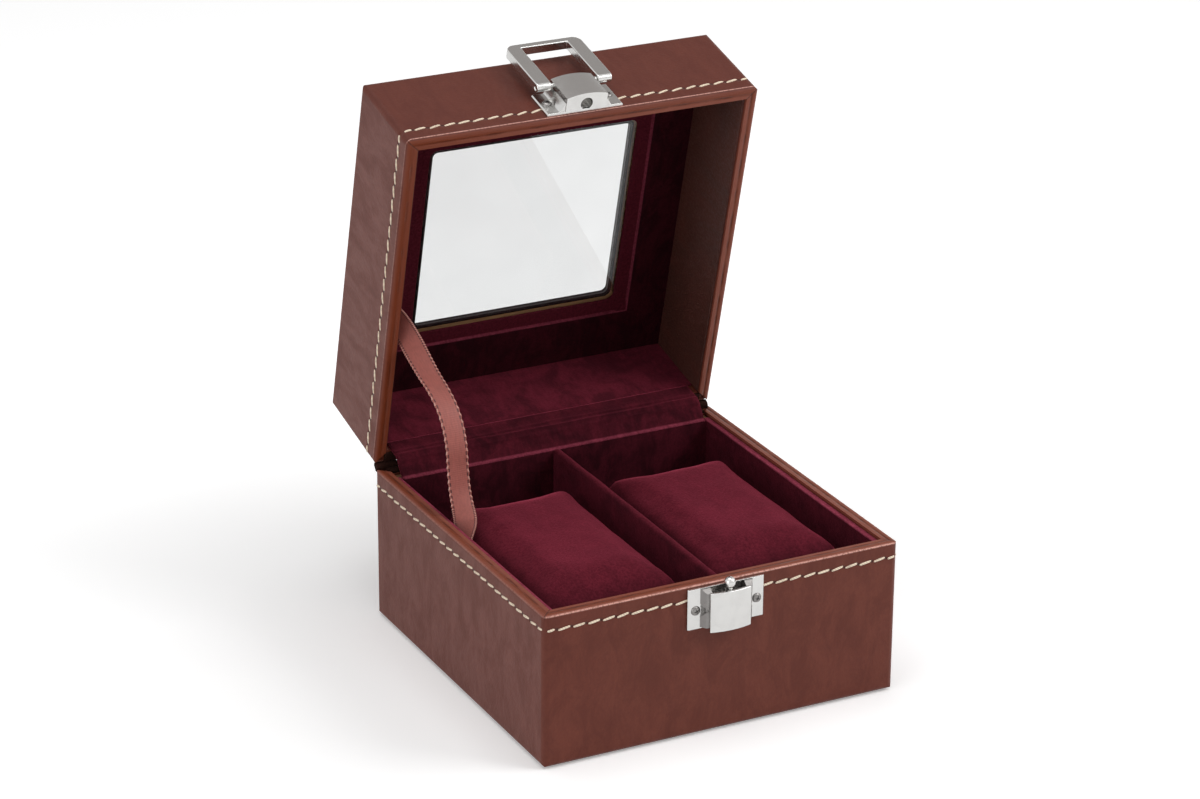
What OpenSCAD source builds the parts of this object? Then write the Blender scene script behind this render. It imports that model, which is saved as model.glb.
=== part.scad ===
// Watch travel case for two watches: a leather-covered box with a hinged, glazed lid,
// two lift-out pillows and a swing-loop clasp. Millimetres, +X along the clasp face,
// +Y to the hinge, +Z up, origin at the centre of the underside. The lid stands open.

/* [Case] */
// Outside width across the clasp face
case_w = 130; // [120:1:150]
// Outside depth from clasp face to hinge face
case_d = 130; // [120:1:150]
// Height of the base from the table to its rim
base_h = 54.4; // [50:0.2:60]
// Height of the lid from its rim to its top
lid_h = 37.4; // [34:0.2:42]
// How far the lid stands open from shut, in degrees
open_deg = 76; // [70:0.1:84]
// Gap between the two rims when shut
rim_gap = 0.5; // [0.4:0.1:0.7]

/* [Walls] */
// Thickness of the leather covering
leather_t = 0.9; // [0.7:0.1:1.1]
// Thickness of the board walls and base floor
board_t = 2.6; // [2.2:0.1:3]
// Thickness of the leather turned in over the rim
turn_t = 0.6; // [0.4:0.1:0.8]
// Depth of the leather turned in over the rim
turn_in = 9; // [7:0.5:12]
// Width of the leather folded under the base
foot_w = 12; // [8:1:18]
// Radius of the upright corners
corner_r = 2.2; // [1.6:0.1:3]
// Radius of the rolled rim edges
rim_r = 1.1; // [0.7:0.1:1.2]
// Radius of the outer edges round the underside and the lid's top
edge_r = 1.6; // [1:0.1:2]
// Thickness of the paper-backed panel under the base
sole_t = 0.6; // [0.4:0.1:1]
// Inset of the panel under the base
sole_inset = 3; // [2:0.5:5]
// Reach of the side walls' mitred ends beyond the back wall's inner face
mitre_over = 3; // [2:0.5:5]

/* [Velvet tray] */
// Thickness of the tray's velvet-covered walls
liner_t = 2; // [1.6:0.1:2.4]
// Thickness of the tray's floor
liner_floor_t = 1.2; // [0.8:0.1:2]
// Play between tray and leather
liner_play = 0.1; // [0.05:0.05:0.2]
// Depth of the tray's edge below the rim
liner_drop = 1.1; // [0.8:0.1:2]
// Thickness of the wooden batten between the tray's back and the back wall
batten_t = 3; // [2.4:0.1:3.6]
// Thickness of the divider
divider_t = 3; // [2.4:0.1:4]
// Depth of the divider's top below the rim
divider_drop = 1.1; // [1:0.1:4]

/* [Pillows] */
// Width of a pillow
pillow_w = 47; // [42:1:50]
// Length of a pillow from front to back
pillow_l = 91; // [84:1:95]
// Depth of a pillow's top below the rim
pillow_drop = 3.8; // [3:0.2:8]
// Gap between pillow and front wall
pillow_front_gap = 1; // [0.6:0.2:3]
// Radius of the pillow's front top edge
pillow_nose_r = 28; // [20:1:32]
// Radius of the pillow's back top edge
pillow_heel_r = 5; // [4:0.5:9]
// Radius of the pillow's long edges
pillow_side_r = 7; // [4:0.5:9]
// Thickness of the velvet sleeve
sleeve_t = 1.2; // [0.8:0.1:1.6]

/* [Window] */
// Width of the window opening
window_w = 76.4; // [66:0.2:84]
// Depth of the window opening
window_d = 72; // [62:0.2:80]
// Radius of the window's corners
window_r = 2.2; // [1.4:0.2:4]
// Thickness of the lid's top board
top_t = 2; // [1.6:0.1:2.4]
// Thickness of the pane
glass_t = 1.4; // [1:0.1:1.8]
// Lap of the pane behind the opening
glass_lap = 2.6; // [2:0.1:3.4]
// Width and height of the bead round the pane
bead_w = 0.8; // [0.6:0.1:1.2]
// Thickness of the velvet lip that holds the pane
lip_t = 0.8; // [0.5:0.1:1]
// Setback of the lip from the opening
lip_set = 1.2; // [0.8:0.1:1.8]
// Height of the velvet step round the lip
step_t = 1; // [0.6:0.1:1.4]
// Setback of the velvet step from the opening
step_set = 6.6; // [4:0.2:8]
// Thickness of the lid's wall lining
lining_t = 0.7; // [0.5:0.1:1]

/* [Hinge] */
// Distance of the hinge's ends from the side walls
hinge_end = 4.4; // [2:0.2:10]
// Radius of the hinge barrel
barrel_r = 1.3; // [1.2:0.05:1.5]
// Radius of the hinge pin
pin_r = 0.6; // [0.5:0.05:0.7]
// Thickness of the hinge leaves
leaf_t = 0.8; // [0.6:0.05:0.9]
// Distance of the hinge pin behind the back wall
hinge_out = 0.9; // [0.6:0.1:1.4]
// Width of a leaf from the pin's axis
leaf_w = 4.8; // [4.4:0.1:4.9]
// Number of knuckles
knuckles = 15; // [11:2:21]
// Gap between neighbouring knuckles
knuckle_gap = 0.15; // [0.1:0.05:0.3]
// Distance of the outer screws in each leaf from the hinge's ends
hinge_screw_end = 13; // [8:1:20]
// Distance of those screws from the pin's axis
hinge_screw_in = 3.2; // [3:0.1:3.4]
// Radius of those screws' shanks
hinge_screw_r = 0.5; // [0.4:0.05:0.6]
// Radius of those screws' heads
hinge_head_r = 0.9; // [0.8:0.05:1]
// Length of those screws
hinge_screw_l = 5; // [4:0.5:8]

/* [Flap and ribbon] */
// Thickness of the velvet hinge flap
flap_t = 0.6; // [0.4:0.1:0.8]
// Play between the velvet hinge flap and the tray's side walls
flap_play = 0.3; // [0.2:0.1:2]
// Width of the flap's foot on the tray's back edge
flap_foot = 1; // [0.8:0.1:2]
// Length of the flap's tail on the lid's back wall
flap_tail = 4; // [3:0.5:6]
// Distance of the flap's crease in front of the hinge pin
crease_in = 4.3; // [4:0.1:5]
// Height of the flap's crease above the hinge pin
crease_up = 3.8; // [3.4:0.1:4.4]
// Width of the stay ribbon
ribbon_w = 8; // [6:0.5:10]
// Thickness of the stay ribbon
ribbon_t = 0.5; // [0.4:0.1:0.8]

/* [Clasp] */
// Width of both clasp plates
plate_w = 28; // [24:0.5:32]
// Thickness of both clasp plates
plate_t = 1.2; // [0.9:0.1:1.5]
// Height of the base's catch plate
catch_plate_h = 14.2; // [13:0.2:16]
// Distance of the catch plate from the base's rim
catch_edge = 1; // [0.8:0.1:2]
// Setback of the catch body from the catch plate's lower edge
catch_low = 0.5; // [0.3:0.1:1]
// Setback of the catch body from the catch plate's upper edge
catch_high = 0.3; // [0.2:0.1:1]
// Height of the lid's hasp plate
hasp_plate_h = 12.6; // [12:0.2:14]
// Distance of the hasp plate from the lid's rim
hasp_edge = 1.4; // [1:0.1:2]
// Width of the hasp block and of the catch cover
block_w = 15; // [13:0.2:16]
// Height of the block's crown above the case wall
crown_h = 7.4; // [6.8:0.1:8]
// Rise of the crown over the block's edges
crown_rise = 1.1; // [0.7:0.1:1.5]
// Length of the hasp block
block_l = 13; // [12.4:0.1:14]
// Distance of the hasp block from the lid's rim
block_edge = 1; // [0.8:0.1:1.6]
// Width of the notch under the bore in the block's end
notch_w = 2.4; // [2:0.1:3]
// Depth of that notch into the block
notch_l = 1.5; // [1:0.1:2]
// Height of that notch above the plate
notch_h = 0.6; // [0.4:0.1:0.7]
// Height of the catch cover's crown above the case wall
cover_h = 5.6; // [5.2:0.1:5.8]
// Length of the catch cover
cover_l = 13.9; // [12:0.1:15]
// Thickness of the catch cover
cover_t = 1.1; // [0.8:0.1:1.3]
// Distance of the cover's lower end below the catch plate
cover_low = 0.8; // [0:0.1:2]
// Half width of the sloping cheeks where they meet the plates
cheek_foot = 9.6; // [9:0.1:10.5]
// Height of the cheeks' tops above the case wall
cheek_h = 4.2; // [3.8:0.1:4.4]
// Width of the room left round each screw head
scoop = 1.2; // [0.8:0.1:1.6]
// Height of the catch screws above the plate's lower edge
catch_screw_up = 6.6; // [6:0.1:7.6]
// Radius of the pins whose ends show on the catch's cheeks
pip_r = 0.8; // [0.6:0.1:1]
// Length of those pins
pip_l = 16.8; // [16:0.1:17]
// Distance of those pins from the case wall
pip_off = 2.6; // [2.4:0.1:3]
// Distance of the clasp screws from the middle
screw_x = 11.2; // [10.6:0.1:12.5]
// Radius of the clasp screws' heads
screw_head_r = 1.6; // [1.3:0.1:1.8]
// Radius of the clasp screws' shanks
screw_r = 0.8; // [0.6:0.1:1]
// Thickness of the clasp screws' heads
screw_head_t = 0.7; // [0.5:0.1:1]
// Distance of the clasp screws' tips from the boards' inner faces
screw_short = 0.3; // [0.2:0.1:1]
// Radius of the ball on the catch stud
ball_r = 1.9; // [1.6:0.1:2]
// Radius of the stud's neck
neck_r = 1; // [0.8:0.1:1.1]
// Length of the stud's foot in the catch body
stud_foot = 3; // [2:0.5:5]
// Height of the ball's top above the lower end of the hasp block when shut
ball_up = 0.6; // [0.4:0.1:2]
// Depth of the bore in the hasp block
bore_l = 6; // [4:0.5:8]
// Depth of the pocket round the stud below the catch body's top
pocket_l = 3.2; // [2:0.1:4]
// Width of that pocket
pocket_w = 12.4; // [11:0.2:13]
// Slope of the catch body's top, in degrees
catch_bevel = 40; // [30:1:50]
// Width of the level strip behind that slope
catch_land = 0.5; // [0.3:0.1:0.8]
// Play between the ball and the bore in the hasp block
ball_play = 0.3; // [0.2:0.05:0.5]
// Distance of stud and bore from the case wall
stud_off = 3.4; // [3.2:0.1:3.8]

/* [Swing loop] */
// Outside width of the loop
loop_w = 27.8; // [25:0.2:30]
// Inside width of the loop
loop_gap = 17.2; // [16.8:0.2:18.2]
// Length of the loop from its pin to its far edge
loop_l = 24.9; // [23:0.1:25.2]
// Width of the loop's cross bar
loop_bar = 2.4; // [2:0.1:3.5]
// Thickness of the loop
loop_t = 3.3; // [2.8:0.1:3.4]
// Radius of the loop's outer corners
loop_r = 3.2; // [2:0.1:4.5]
// Radius of the loop's pin
loop_pin_r = 0.8; // [0.6:0.05:1]
// Setback of the pin's ends from the loop's sides
loop_pin_in = 0.3; // [0.1:0.1:0.6]
// Distance of the loop's pin from the lid's front wall
loop_off = 5.2; // [5:0.1:5.4]
// Distance of the loop's pin from the lid's rim
loop_pin_z = 12; // [11.6:0.1:12.4]
// Running clearance of every pin in its bore
pin_play = 0.05; // [0.03:0.01:0.08]

/* [Hidden] */
$fn = 48;
eps = 0.01;
big = 400;

// Heights of the base's floor layers and of the tray's edges
floor_z = sole_t + leather_t + board_t;
tray_z = floor_z + liner_floor_t;
liner_z = base_h - liner_drop;
liner_back_z = liner_z - flap_t;

// Wall layers, from the outer face inwards
wall_t = leather_t + board_t + turn_t;
inner_w = case_w - 2 * wall_t;
inner_d = case_d - 2 * wall_t;
tray_w = inner_w - 2 * liner_play;
tray_front = -inner_d / 2 + liner_play;
tray_back = inner_d / 2 - liner_play - batten_t;
room_w = tray_w - 2 * liner_t;
room_front = tray_front + liner_t;
room_back = tray_back - liner_t;
lid_room_w = inner_w - 2 * lining_t;
lid_room_d = inner_d - 2 * lining_t;

// Hinge axis, midway between the rims
hinge_y = case_d / 2 + hinge_out;
hinge_z = base_h + rim_gap / 2;
// Depth of both back walls below their rims, which seats the hinge leaves
back_drop = barrel_r - rim_gap / 2;
// Reach of the mitred side walls' ends over the back wall
mitre = wall_t + mitre_over;
hinge_len = inner_w - 2 * hinge_end;
knuckle_l = hinge_len / knuckles;
hinge_screws = 4;
hinge_screw_pitch = (hinge_len - 2 * hinge_screw_end) / (hinge_screws - 1);
flap_w = room_w - 2 * flap_play;

// Lid, shut: heights above the table
lid_z = base_h + rim_gap;
lid_top = lid_z + lid_h;
top_z = lid_top - leather_t - top_t;
glass_z = top_z - glass_t;
lip_z = glass_z - lip_t;
step_z = lip_z - step_t;

// Clasp: heights along the front walls, shut
catch_plate_z = base_h - catch_edge - catch_plate_h;
catch_screw_z = catch_plate_z + catch_screw_up;
catch_body_z = catch_plate_z + catch_low;
catch_body_top = catch_plate_z + catch_plate_h - catch_high;
pocket_z = catch_body_top - pocket_l;
cover_z = catch_plate_z - cover_low;
hasp_plate_z = lid_z + hasp_edge;
hasp_screw_z = hasp_plate_z + hasp_plate_h / 2;
block_z = lid_z + block_edge;
ball_z = block_z + ball_up - ball_r;
screw_l = plate_t + leather_t + board_t - screw_short;
plate_bevel = plate_t / 3;
// Radius of the curve across the block and the cover
crown_r = (block_w * block_w / 4 + crown_rise * crown_rise) / (2 * crown_rise);

// Pillows stand on the tray's floor, each in the middle of its compartment
pillow_h = base_h - pillow_drop - tray_z;
pillow_y = room_front + pillow_front_gap;
pillow_x = (divider_t + room_w) / 4;

// Plain rounded rectangle, centred
module plan(w, d, r) {
    square([w - 2 * r, d], center = true);
    square([w, d - 2 * r], center = true);
    for (x = [-1, 1], y = [-1, 1])
        translate([x * (w / 2 - r), y * (d / 2 - r)]) circle(r);
}

// Block with rounded upright corners, from z0 to z1
module block(w, d, r, z0, z1) {
    translate([0, 0, z0]) linear_extrude(z1 - z0) plan(w, d, r);
}

// Square-cornered block, centred, from z0 to z1
module brick(w, d, z0, z1) {
    translate([-w / 2, -d / 2, z0]) cube([w, d, z1 - z0]);
}

// Lid pieces are drawn shut, then swung open about the hinge pin
module opened() {
    translate([0, hinge_y, hinge_z]) rotate([-open_deg, 0, 0])
        translate([0, -hinge_y, -hinge_z]) children();
}

// Lid shells are drawn rim up like the base, then turned over
module turned_over() {
    translate([0, 0, lid_top]) mirror([0, 0, 1]) children();
}

// Waste outside a rounded edge of radius r that runs along Y at x = 0, z = 0
module edge_waste(len, r) {
    translate([0, len / 2, 0]) rotate([90, 0, 0]) linear_extrude(len) difference() {
        translate([-1, -1]) square([r + 1, r + 1]);
        translate([r, r]) circle(r);
    }
}

// Rounds the four lower outer edges of a block w by d whose bottom is at z = 0
module round_lower(w, d, r) {
    for (side = [0, 180]) rotate([0, 0, side])
        translate([-w / 2, 0, 0]) edge_waste(d + 2, r);
    for (side = [90, 270]) rotate([0, 0, side])
        translate([-d / 2, 0, 0]) edge_waste(w + 2, r);
}

// Takes the top off a back wall between two mitred ends, down to z; shift moves the mitres out
module back_cut(z, shift) {
    x0 = case_w / 2 + 1;
    y0 = case_d / 2 + 1 - shift;
    translate([0, 0, z]) linear_extrude(big)
        polygon([[-x0, y0], [-x0, y0 + shift + 1], [x0, y0 + shift + 1], [x0, y0],
            [x0 - mitre, y0 - mitre], [-x0 + mitre, y0 - mitre]]);
}

// Board shell with its open side up: walls on a floor
module shell_board(h, floor_t) {
    difference() {
        block(case_w - 2 * leather_t, case_d - 2 * leather_t, corner_r - leather_t,
            leather_t, h - leather_t);
        brick(case_w - 2 * (leather_t + board_t), case_d - 2 * (leather_t + board_t),
            leather_t + floor_t, h);
        back_cut(h - leather_t - back_drop, leather_t * sqrt(2));
    }
}

// Leather round a shell: outer skin, rolled rim and the strip turned in
module shell_leather(h, floor_t) {
    difference() {
        block(case_w, case_d, corner_r, 0, h);
        shell_board(h, floor_t);
        brick(case_w - 2 * (leather_t + board_t), case_d - 2 * (leather_t + board_t),
            leather_t + floor_t - eps, h - turn_in);
        brick(inner_w, inner_d, leather_t + floor_t, h + 1);
        back_cut(h - back_drop, 0);
        round_lower(case_w, case_d, edge_r);
        translate([0, 0, h]) mirror([0, 0, 1]) round_lower(case_w, case_d, rim_r);
    }
}

// Screws of a hinge leaf, also cut out as their holes; side is -1 for the base, 1 for the lid
module leaf_screws(side) {
    for (i = [0 : hinge_screws - 1])
        translate([(i - (hinge_screws - 1) / 2) * hinge_screw_pitch, hinge_y - hinge_screw_in,
                hinge_z + side * (barrel_r - leaf_t)])
            mirror([0, 0, side < 0 ? 1 : 0]) {
                cylinder(h = hinge_screw_l, r = hinge_screw_r);
                cylinder(h = leaf_t / 2, r = hinge_head_r);
            }
}

// The two screws of a clasp plate at height z, also cut out as their holes
module plate_screws(z) {
    for (x = [-screw_x, screw_x])
        translate([x, -case_d / 2 - plate_t, z]) rotate([-90, 0, 0]) {
            translate([0, 0, -screw_head_t / 2]) cylinder(h = screw_head_t, r = screw_head_r);
            cylinder(h = screw_l, r = screw_r);
        }
}

// Base
module base_board() {
    color("peru") difference() {
        translate([0, 0, sole_t]) shell_board(base_h - sole_t, board_t);
        leaf_screws(-1);
        plate_screws(catch_screw_z);
    }
}

module base_leather() {
    color("saddlebrown") difference() {
        translate([0, 0, sole_t]) shell_leather(base_h - sole_t, board_t);
        brick(case_w - 2 * foot_w, case_d - 2 * foot_w, 0, sole_t + leather_t + eps);
        leaf_screws(-1);
        plate_screws(catch_screw_z);
    }
}

module base_sole() {
    color("dimgray")
        block(case_w - 2 * sole_inset, case_d - 2 * sole_inset, corner_r, 0, sole_t);
}

// Box from one corner to the opposite one
module between(low, high) {
    translate(low) cube(high - low);
}

// Velvet tray, with a lower back edge for the flap's foot
module base_liner() {
    color("maroon") difference() {
        between([-tray_w / 2, tray_front, floor_z], [tray_w / 2, tray_back, liner_z]);
        between([-room_w / 2, room_front, tray_z], [room_w / 2, room_back, base_h]);
        between([-room_w / 2, room_back - eps, liner_back_z], [room_w / 2, tray_back + 1, base_h]);
    }
}

module hinge_batten() {
    color("burlywood") between([-tray_w / 2, tray_back, floor_z],
        [tray_w / 2, tray_back + batten_t, liner_back_z]);
}

module divider() {
    top = base_h - divider_drop - divider_t / 2;
    color("maroon") union() {
        between([-divider_t / 2, room_front, tray_z], [divider_t / 2, room_back, top]);
        translate([0, room_front, top]) rotate([-90, 0, 0])
            cylinder(h = room_back - room_front, r = divider_t / 2);
    }
}

// Side view of a pillow, grown inwards by inset: long nose in front, tight heel at the back
module pillow_side(inset) {
    l = pillow_l - 2 * inset;
    h = pillow_h - 2 * inset;
    nose = pillow_nose_r - inset;
    heel = pillow_heel_r - inset;
    low = pillow_side_r - inset;
    difference() {
        square([l, h]);
        translate([-eps, -eps]) square([low + eps, low + eps]);
        translate([l - heel, -eps]) square([heel + eps, heel + eps]);
        translate([-eps, h - nose]) square([nose + eps, nose + eps]);
        translate([l - heel, h - heel]) square([heel + eps, heel + eps]);
    }
    translate([low, low]) circle(low);
    translate([l - heel, heel]) circle(heel);
    translate([nose, h - nose]) circle(nose);
    translate([l - heel, h - heel]) circle(heel);
}

// Pillow body about its own middle in X, with its front bottom edge at y = 0, z = 0
module pillow_form(inset) {
    w = pillow_w - 2 * inset;
    translate([0, inset, inset]) intersection() {
        translate([-w / 2, 0, 0]) rotate([90, 0, 90]) linear_extrude(w) pillow_side(inset);
        translate([0, pillow_l, pillow_h / 2 - inset]) rotate([90, 0, 0])
            linear_extrude(pillow_l + 2) plan(w, pillow_h - 2 * inset, pillow_side_r - inset);
    }
}

module pillow_sleeve(side) {
    color("brown") translate([side * pillow_x, pillow_y, tray_z]) difference() {
        pillow_form(0);
        pillow_form(sleeve_t);
    }
}

module pillow_foam(side) {
    color("wheat") translate([side * pillow_x, pillow_y, tray_z]) pillow_form(sleeve_t);
}

// Where knuckle k starts
function knuckle_x(k) = -hinge_len / 2 + k * knuckle_l;

// Hinge leaf lying below the axis: a strip with every other knuckle, bored for the pin
module leaf(odd, bore) {
    difference() {
        union() {
            between([-hinge_len / 2, hinge_y - leaf_w, hinge_z - barrel_r],
                [hinge_len / 2, hinge_y, hinge_z - barrel_r + leaf_t]);
            for (k = [odd : 2 : knuckles - 1])
                translate([knuckle_x(k), hinge_y, hinge_z]) rotate([0, 90, 0])
                    cylinder(h = knuckle_l, r = barrel_r);
        }
        for (k = [1 - odd : 2 : knuckles - 1])
            between([knuckle_x(k) - knuckle_gap, hinge_y - barrel_r - knuckle_gap, 0],
                [knuckle_x(k + 1) + knuckle_gap, hinge_y + 2 * barrel_r, big]);
        translate([-hinge_len / 2 - 1, hinge_y, hinge_z]) rotate([0, 90, 0])
            cylinder(h = hinge_len + 2, r = bore);
    }
}

module base_hinge_leaf() {
    color("silver") difference() {
        leaf(0, pin_r);
        leaf_screws(-1);
    }
}

module lid_hinge_leaf() {
    color("silver") opened() difference() {
        translate([0, 0, 2 * hinge_z]) mirror([0, 0, 1]) leaf(1, pin_r + pin_play);
        leaf_screws(1);
    }
}

module base_hinge_screws() {
    color("gray") leaf_screws(-1);
}

module lid_hinge_screws() {
    color("gray") opened() leaf_screws(1);
}

module hinge_pin() {
    color("gray") translate([-hinge_len / 2, hinge_y, hinge_z]) rotate([0, 90, 0])
        cylinder(h = hinge_len, r = pin_r);
}

// A point (y, z) of the shut lid, swung open
function swung(y, z) = [
    hinge_y + (y - hinge_y) * cos(open_deg) + (z - hinge_z) * sin(open_deg),
    hinge_z - (y - hinge_y) * sin(open_deg) + (z - hinge_z) * cos(open_deg)];

function unit(v) = v / norm(v);
function left_of(v) = [-v[1], v[0]];

// Point i of a path moved to its left by d, mitred at the bends
function moved(path, i, d) =
    let (last = len(path) - 1,
        a = unit(path[max(i, 1)] - path[max(i, 1) - 1]),
        b = unit(path[min(i, last - 1) + 1] - path[min(i, last - 1)]),
        side = unit(left_of(a + b)))
    path[i] + side * d / (side * left_of(a));

// Strip of thickness t that lies to the left of a path
module strip(path, t) {
    last = len(path) - 1;
    polygon(concat(path, [for (i = [last : -1 : 0]) moved(path, i, t)]));
}

// Flap in the side view: foot on the tray's back edge, crease, tail on the lid's back wall
flap_path = [[room_back, liner_back_z], [room_back + flap_foot, liner_back_z],
    [hinge_y - crease_in, hinge_z + crease_up],
    swung(inner_d / 2, lid_z + back_drop), swung(inner_d / 2, lid_z + back_drop + flap_tail)];

module hinge_flap() {
    color("maroon") translate([-flap_w / 2, 0, 0]) rotate([90, 0, 90])
        linear_extrude(flap_w) strip(flap_path, flap_t);
}

// Ribbon's middle line, chosen by hand: y, z and how far it is turned flat to the side wall,
// for a case 130 deep with a base 54.4 high; above z = 90 it lies along the lid's side wall
ribbon_drawn = [[2.5, 36, 90], [3.5, 41, 90], [5, 45.5, 80], [7.5, 49.5, 55], [11.5, 53.5, 22],
    [16.5, 57.5, 5], [19.5, 63, 0], [21, 70, 0], [22, 77, 0], [24.5, 83.5, 0], [28.5, 89, 0],
    [34.5, 93, 0], [41.5, 96, 5], [48.5, 100, 15], [55, 105, 35], [59.5, 110, 60],
    [62, 114.5, 82], [63, 118.5, 90], [63, 122, 90]];
ribbon_drawn_d = 130;
ribbon_drawn_h = 54.4;
ribbon_drawn_change = 90;
ribbon_path = [for (p = ribbon_drawn)
    [p[0] * case_d / ribbon_drawn_d, p[1] * base_h / ribbon_drawn_h, p[2]]];

// Inner face of the side wall beside the ribbon: the tray's below, the lid's above
function ribbon_wall(z) =
    z * ribbon_drawn_h > ribbon_drawn_change * base_h ? -lid_room_w / 2 : -room_w / 2;

// The four corners of the ribbon's section at point i, with one edge or face on the wall
function ribbon_ring(i) =
    let (p = ribbon_path[i], last = len(ribbon_path) - 1,
        run = ribbon_path[min(i + 1, last)] - ribbon_path[max(i - 1, 0)],
        side = left_of(unit([run[0], run[1]])),
        across = ribbon_w / 2 * [cos(p[2]), sin(p[2]) * side[0], sin(p[2]) * side[1]],
        thick = ribbon_t / 2 * [-sin(p[2]), cos(p[2]) * side[0], cos(p[2]) * side[1]],
        middle = [ribbon_wall(p[1]) + across[0] - thick[0], p[0], p[1]])
    [middle - across - thick, middle + across - thick, middle + across + thick,
        middle - across + thick];

module stay_ribbon() {
    rings = len(ribbon_path);
    points = [for (i = [0 : rings - 1]) each ribbon_ring(i)];
    sides = [for (i = [0 : rings - 2], k = [0 : 3], half = [0, 1])
        let (a = 4 * i + k, b = 4 * i + (k + 1) % 4)
        half == 0 ? [a, b, a + 4] : [b, b + 4, a + 4]];
    ends = [[3, 2, 1], [3, 1, 0], [for (k = [0, 1, 2]) 4 * (rings - 1) + k],
        [for (k = [0, 2, 3]) 4 * (rings - 1) + k]];
    color("sienna") polyhedron(points, concat(sides, ends));
}

// Lid
module window_cut(grow, z0, z1) {
    block(window_w + 2 * grow, window_d + 2 * grow, window_r + grow / 2, z0, z1);
}

module lid_board() {
    color("peru") opened() difference() {
        turned_over() shell_board(lid_h, top_t);
        window_cut(turn_t, top_z - 1, lid_top);
        leaf_screws(1);
        plate_screws(hasp_screw_z);
    }
}

module lid_leather() {
    color("saddlebrown") opened() difference() {
        union() {
            turned_over() shell_leather(lid_h, top_t);
            difference() {
                window_cut(turn_t, top_z, lid_top - leather_t + eps);
                window_cut(0, top_z - 1, lid_top);
            }
        }
        window_cut(0, top_z - 1, lid_top + 1);
        leaf_screws(1);
        plate_screws(hasp_screw_z);
    }
}

// Leather lining on the lid's front and side walls
module lid_wall_lining() {
    low = lid_z + liner_drop;
    color("saddlebrown") opened() difference() {
        between([-inner_w / 2, -inner_d / 2, low], [inner_w / 2, lid_room_d / 2, top_z]);
        brick(lid_room_w, lid_room_d + eps, low - 1, top_z + 1);
    }
}

// Velvet lining on the lid's back wall, up from the flap's tail
module lid_back_lining() {
    color("maroon") opened() between(
        [-inner_w / 2, lid_room_d / 2, lid_z + back_drop + flap_tail + liner_play],
        [inner_w / 2, inner_d / 2, top_z]);
}

// Velvet-covered frame under the lid's top: a lip that holds the pane, then a raised step
module window_surround() {
    color("maroon") opened() difference() {
        brick(lid_room_w, lid_room_d, step_z, top_z);
        window_cut(glass_lap + liner_play, glass_z, top_z + 1);
        window_cut(lip_set, step_z - 1, top_z);
        window_cut(step_set, step_z - 1, lip_z);
    }
}

module window_glass() {
    color("lightcyan", 0.4) opened() window_cut(glass_lap, glass_z, top_z);
}

module window_bead() {
    color("black") opened() difference() {
        window_cut(0, top_z, top_z + bead_w);
        window_cut(-bead_w, top_z - 1, top_z + bead_w + 1);
    }
}

// Stands a cross-section on the front wall from z0 to z1: x across, y outwards
module on_front(z0, z1) {
    translate([0, -case_d / 2, z0]) mirror([0, 1, 0]) linear_extrude(z1 - z0) children();
}

// Cross-section of a block w wide whose top is crowned to height h
module crowned(w, h) {
    intersection() {
        translate([-w / 2, plate_t]) square([w, h]);
        translate([0, h - crown_r]) circle(crown_r);
    }
}

// Cross-section of the sloping cheeks on a clasp plate
module cheeks() {
    polygon([[-cheek_foot, plate_t], [cheek_foot, plate_t], [block_w / 2, cheek_h],
        [-block_w / 2, cheek_h]]);
}

// Clears the cheeks round the screw heads at height z
module scoops(z) {
    for (x = [-screw_x, screw_x]) translate([x, -case_d / 2 - plate_t, z]) rotate([90, 0, 0])
        cylinder(h = 2 * crown_h, r = screw_head_r + scoop);
}

// Clasp plate with bevelled side edges
module clasp_plate(z0, h) {
    on_front(z0, z0 + h) polygon([[-plate_w / 2, 0], [plate_w / 2, 0],
        [plate_w / 2, plate_t - plate_bevel], [plate_w / 2 - plate_bevel, plate_t],
        [-plate_w / 2 + plate_bevel, plate_t], [-plate_w / 2, plate_t - plate_bevel]]);
}

module hasp_plate() {
    color("silver") opened() difference() {
        clasp_plate(hasp_plate_z, hasp_plate_h);
        plate_screws(hasp_screw_z);
    }
}

// Puts a cylinder's axis on the loop's pin, in the shut lid
module on_loop_pin() {
    translate([0, -case_d / 2 - loop_off, lid_z + loop_pin_z]) rotate([0, 90, 0]) children();
}

// Hasp block: crowned, flared at its foot, bored in its end for the stud
module hasp_block() {
    color("gainsboro") opened() difference() {
        union() {
            on_front(block_z, block_z + block_l) crowned(block_w, crown_h);
            on_front(hasp_plate_z, hasp_plate_z + hasp_plate_h) cheeks();
        }
        scoops(hasp_screw_z);
        translate([0, -case_d / 2 - stud_off, block_z - eps])
            cylinder(h = bore_l, r = ball_r + ball_play);
        between([-notch_w / 2, -case_d / 2 - plate_t - notch_h, block_z - eps],
            [notch_w / 2, -case_d / 2 - plate_t + eps, block_z + notch_l]);
        on_loop_pin() cylinder(h = 2 * block_w, r = loop_pin_r + pin_play, center = true);
    }
}

module hasp_screws() {
    color("gray") opened() plate_screws(hasp_screw_z);
}

module hasp_pin() {
    color("gray") opened() on_loop_pin()
        cylinder(h = loop_w - 2 * loop_pin_in, r = loop_pin_r, center = true);
}

// Loop seen from the front: a frame with rounded far corners
module loop_front() {
    difference() {
        union() {
            translate([-loop_w / 2, 0]) square([loop_w, loop_l - loop_r]);
            translate([-loop_w / 2 + loop_r, 0]) square([loop_w - 2 * loop_r, loop_l]);
            for (x = [-1, 1]) translate([x * (loop_w / 2 - loop_r), loop_l - loop_r])
                circle(loop_r);
        }
        translate([-loop_gap / 2, -1]) square([loop_gap, loop_l - loop_bar + 1]);
    }
}

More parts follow.
